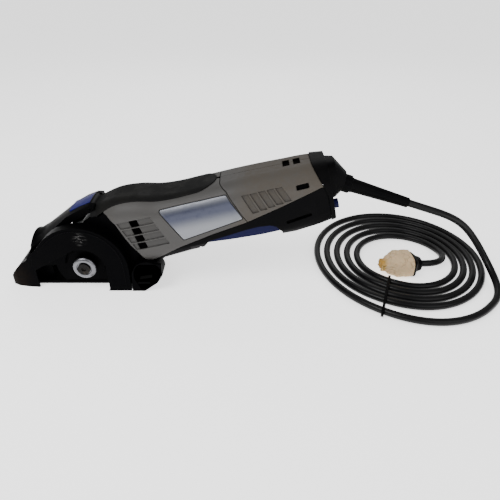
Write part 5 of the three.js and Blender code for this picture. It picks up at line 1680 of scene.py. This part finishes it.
    def build(self) -> None:
        """Makes each rounded piece on its own body, and the lathed and added ones."""
        shapes = {Shaping.KEPT: None, Shaping.ARCHED: self.foot.arched,
                  Shaping.SHORTENED: self.foot.shortened}
        for piece in self.pieces:
            material, slot = piece.finish.value
            slices = self.arch_slices if piece.shaping is Shaping.ARCHED else ()
            item = softened(piece.node, piece.name, getattr(self.finishes, material), piece.width,
                            piece.segments, piece.angle, shapes[piece.shaping], slices)
            laid(item, piece.body, slot, piece.node)
        self.washer()
        self.fin()
        self.ridge()
        self.foot_plates()


# Studio


@dataclass
class Studio:
    """Camera at the photograph's viewing angle, soft lights, and the floor."""

    finishes: Finishes
    camera_at: tuple = (0.0737, -0.4134, 0.2751)
    camera_down: float = 31.0
    focal_pixels: float = 480.0
    frame_pixels: float = 500.0
    sensor: float = 36.0
    clip: tuple = (0.01, 20.0)
    sky: float = 0.5
    target: tuple = (0.05, 0, 0.05)
    lamps: tuple = (
        ("key", (-0.45, -0.5, 0.9), 0.6, 9.5),
        ("fill", (0.7, -0.7, 0.6), 0.8, 3.5),
        ("rim", (0.1, 0.8, 0.8), 0.8, 2.5),
    )
    floor_half: float = 6.0
    floor_drop: float = 0.0004

    def camera(self) -> None:
        """Sets up the camera, whose lens is its focal length in pixels over the frame's width."""
        data = bpy.data.cameras.new("camera")
        data.sensor_width = self.sensor
        data.lens = self.focal_pixels / self.frame_pixels * self.sensor
        data.clip_start, data.clip_end = self.clip
        item = bpy.data.objects.new("camera", data)
        item.location = self.camera_at
        item.rotation_euler = (math.radians(90 - self.camera_down), 0, 0)
        bpy.context.scene.collection.objects.link(item)
        bpy.context.scene.camera = item

    def light(self, name: str, place: tuple, size: float, power: float) -> None:
        """A square area light that faces the target.

        Args:
            name: the light's name.
            place: where it is, in metres.
            size: its side in metres.
            power: its power in watts.
        """
        data = bpy.data.lights.new(name, "AREA")
        data.size, data.energy = size, power
        item = bpy.data.objects.new(name, data)
        item.location = place
        aim = np.subtract(self.target, place)
        item.rotation_euler = (math.atan2(math.hypot(aim[0], aim[1]), -aim[2]), 0,
                               math.atan2(aim[1], aim[0]) - math.pi / 2)
        bpy.context.scene.collection.objects.link(item)

    def floor(self) -> None:
        """The floor, a little under the saw."""
        half = self.floor_half
        mesh = bpy.data.meshes.new("floor")
        mesh.from_pydata([(-half, -half, 0), (half, -half, 0), (half, half, 0), (-half, half, 0)], [],
                         [(0, 1, 2, 3)])
        item = new_item("floor", mesh, self.finishes.floor)
        item.location.z = -self.floor_drop

    def build(self) -> None:
        """Makes camera, world, lights and floor."""
        self.camera()
        world = bpy.data.worlds.new("studio")
        world.use_nodes = True
        world.node_tree.nodes["Background"].inputs[0].default_value = (1, 1, 1, 1)
        world.node_tree.nodes["Background"].inputs[1].default_value = self.sky
        bpy.context.scene.world = world
        for lamp in self.lamps:
            self.light(*lamp)
        self.floor()


def corners(bounds: tuple) -> list[list[float]]:
    """A box as two plain lists of numbers."""
    return [[float(v) for v in corner] for corner in bounds]


def main() -> None:
    """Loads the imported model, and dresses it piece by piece."""
    logging.basicConfig(level=logging.INFO, format="%(name)s: %(message)s")
    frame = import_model()
    finishes = Finishes()
    finishes.dress(frame["nodes"], frame["record"])
    Studio(finishes).build()
    Housing(finishes).build()
    HardParts(finishes).build()
    CordRun(finishes).build()


if __name__ == "__main__":
    main()
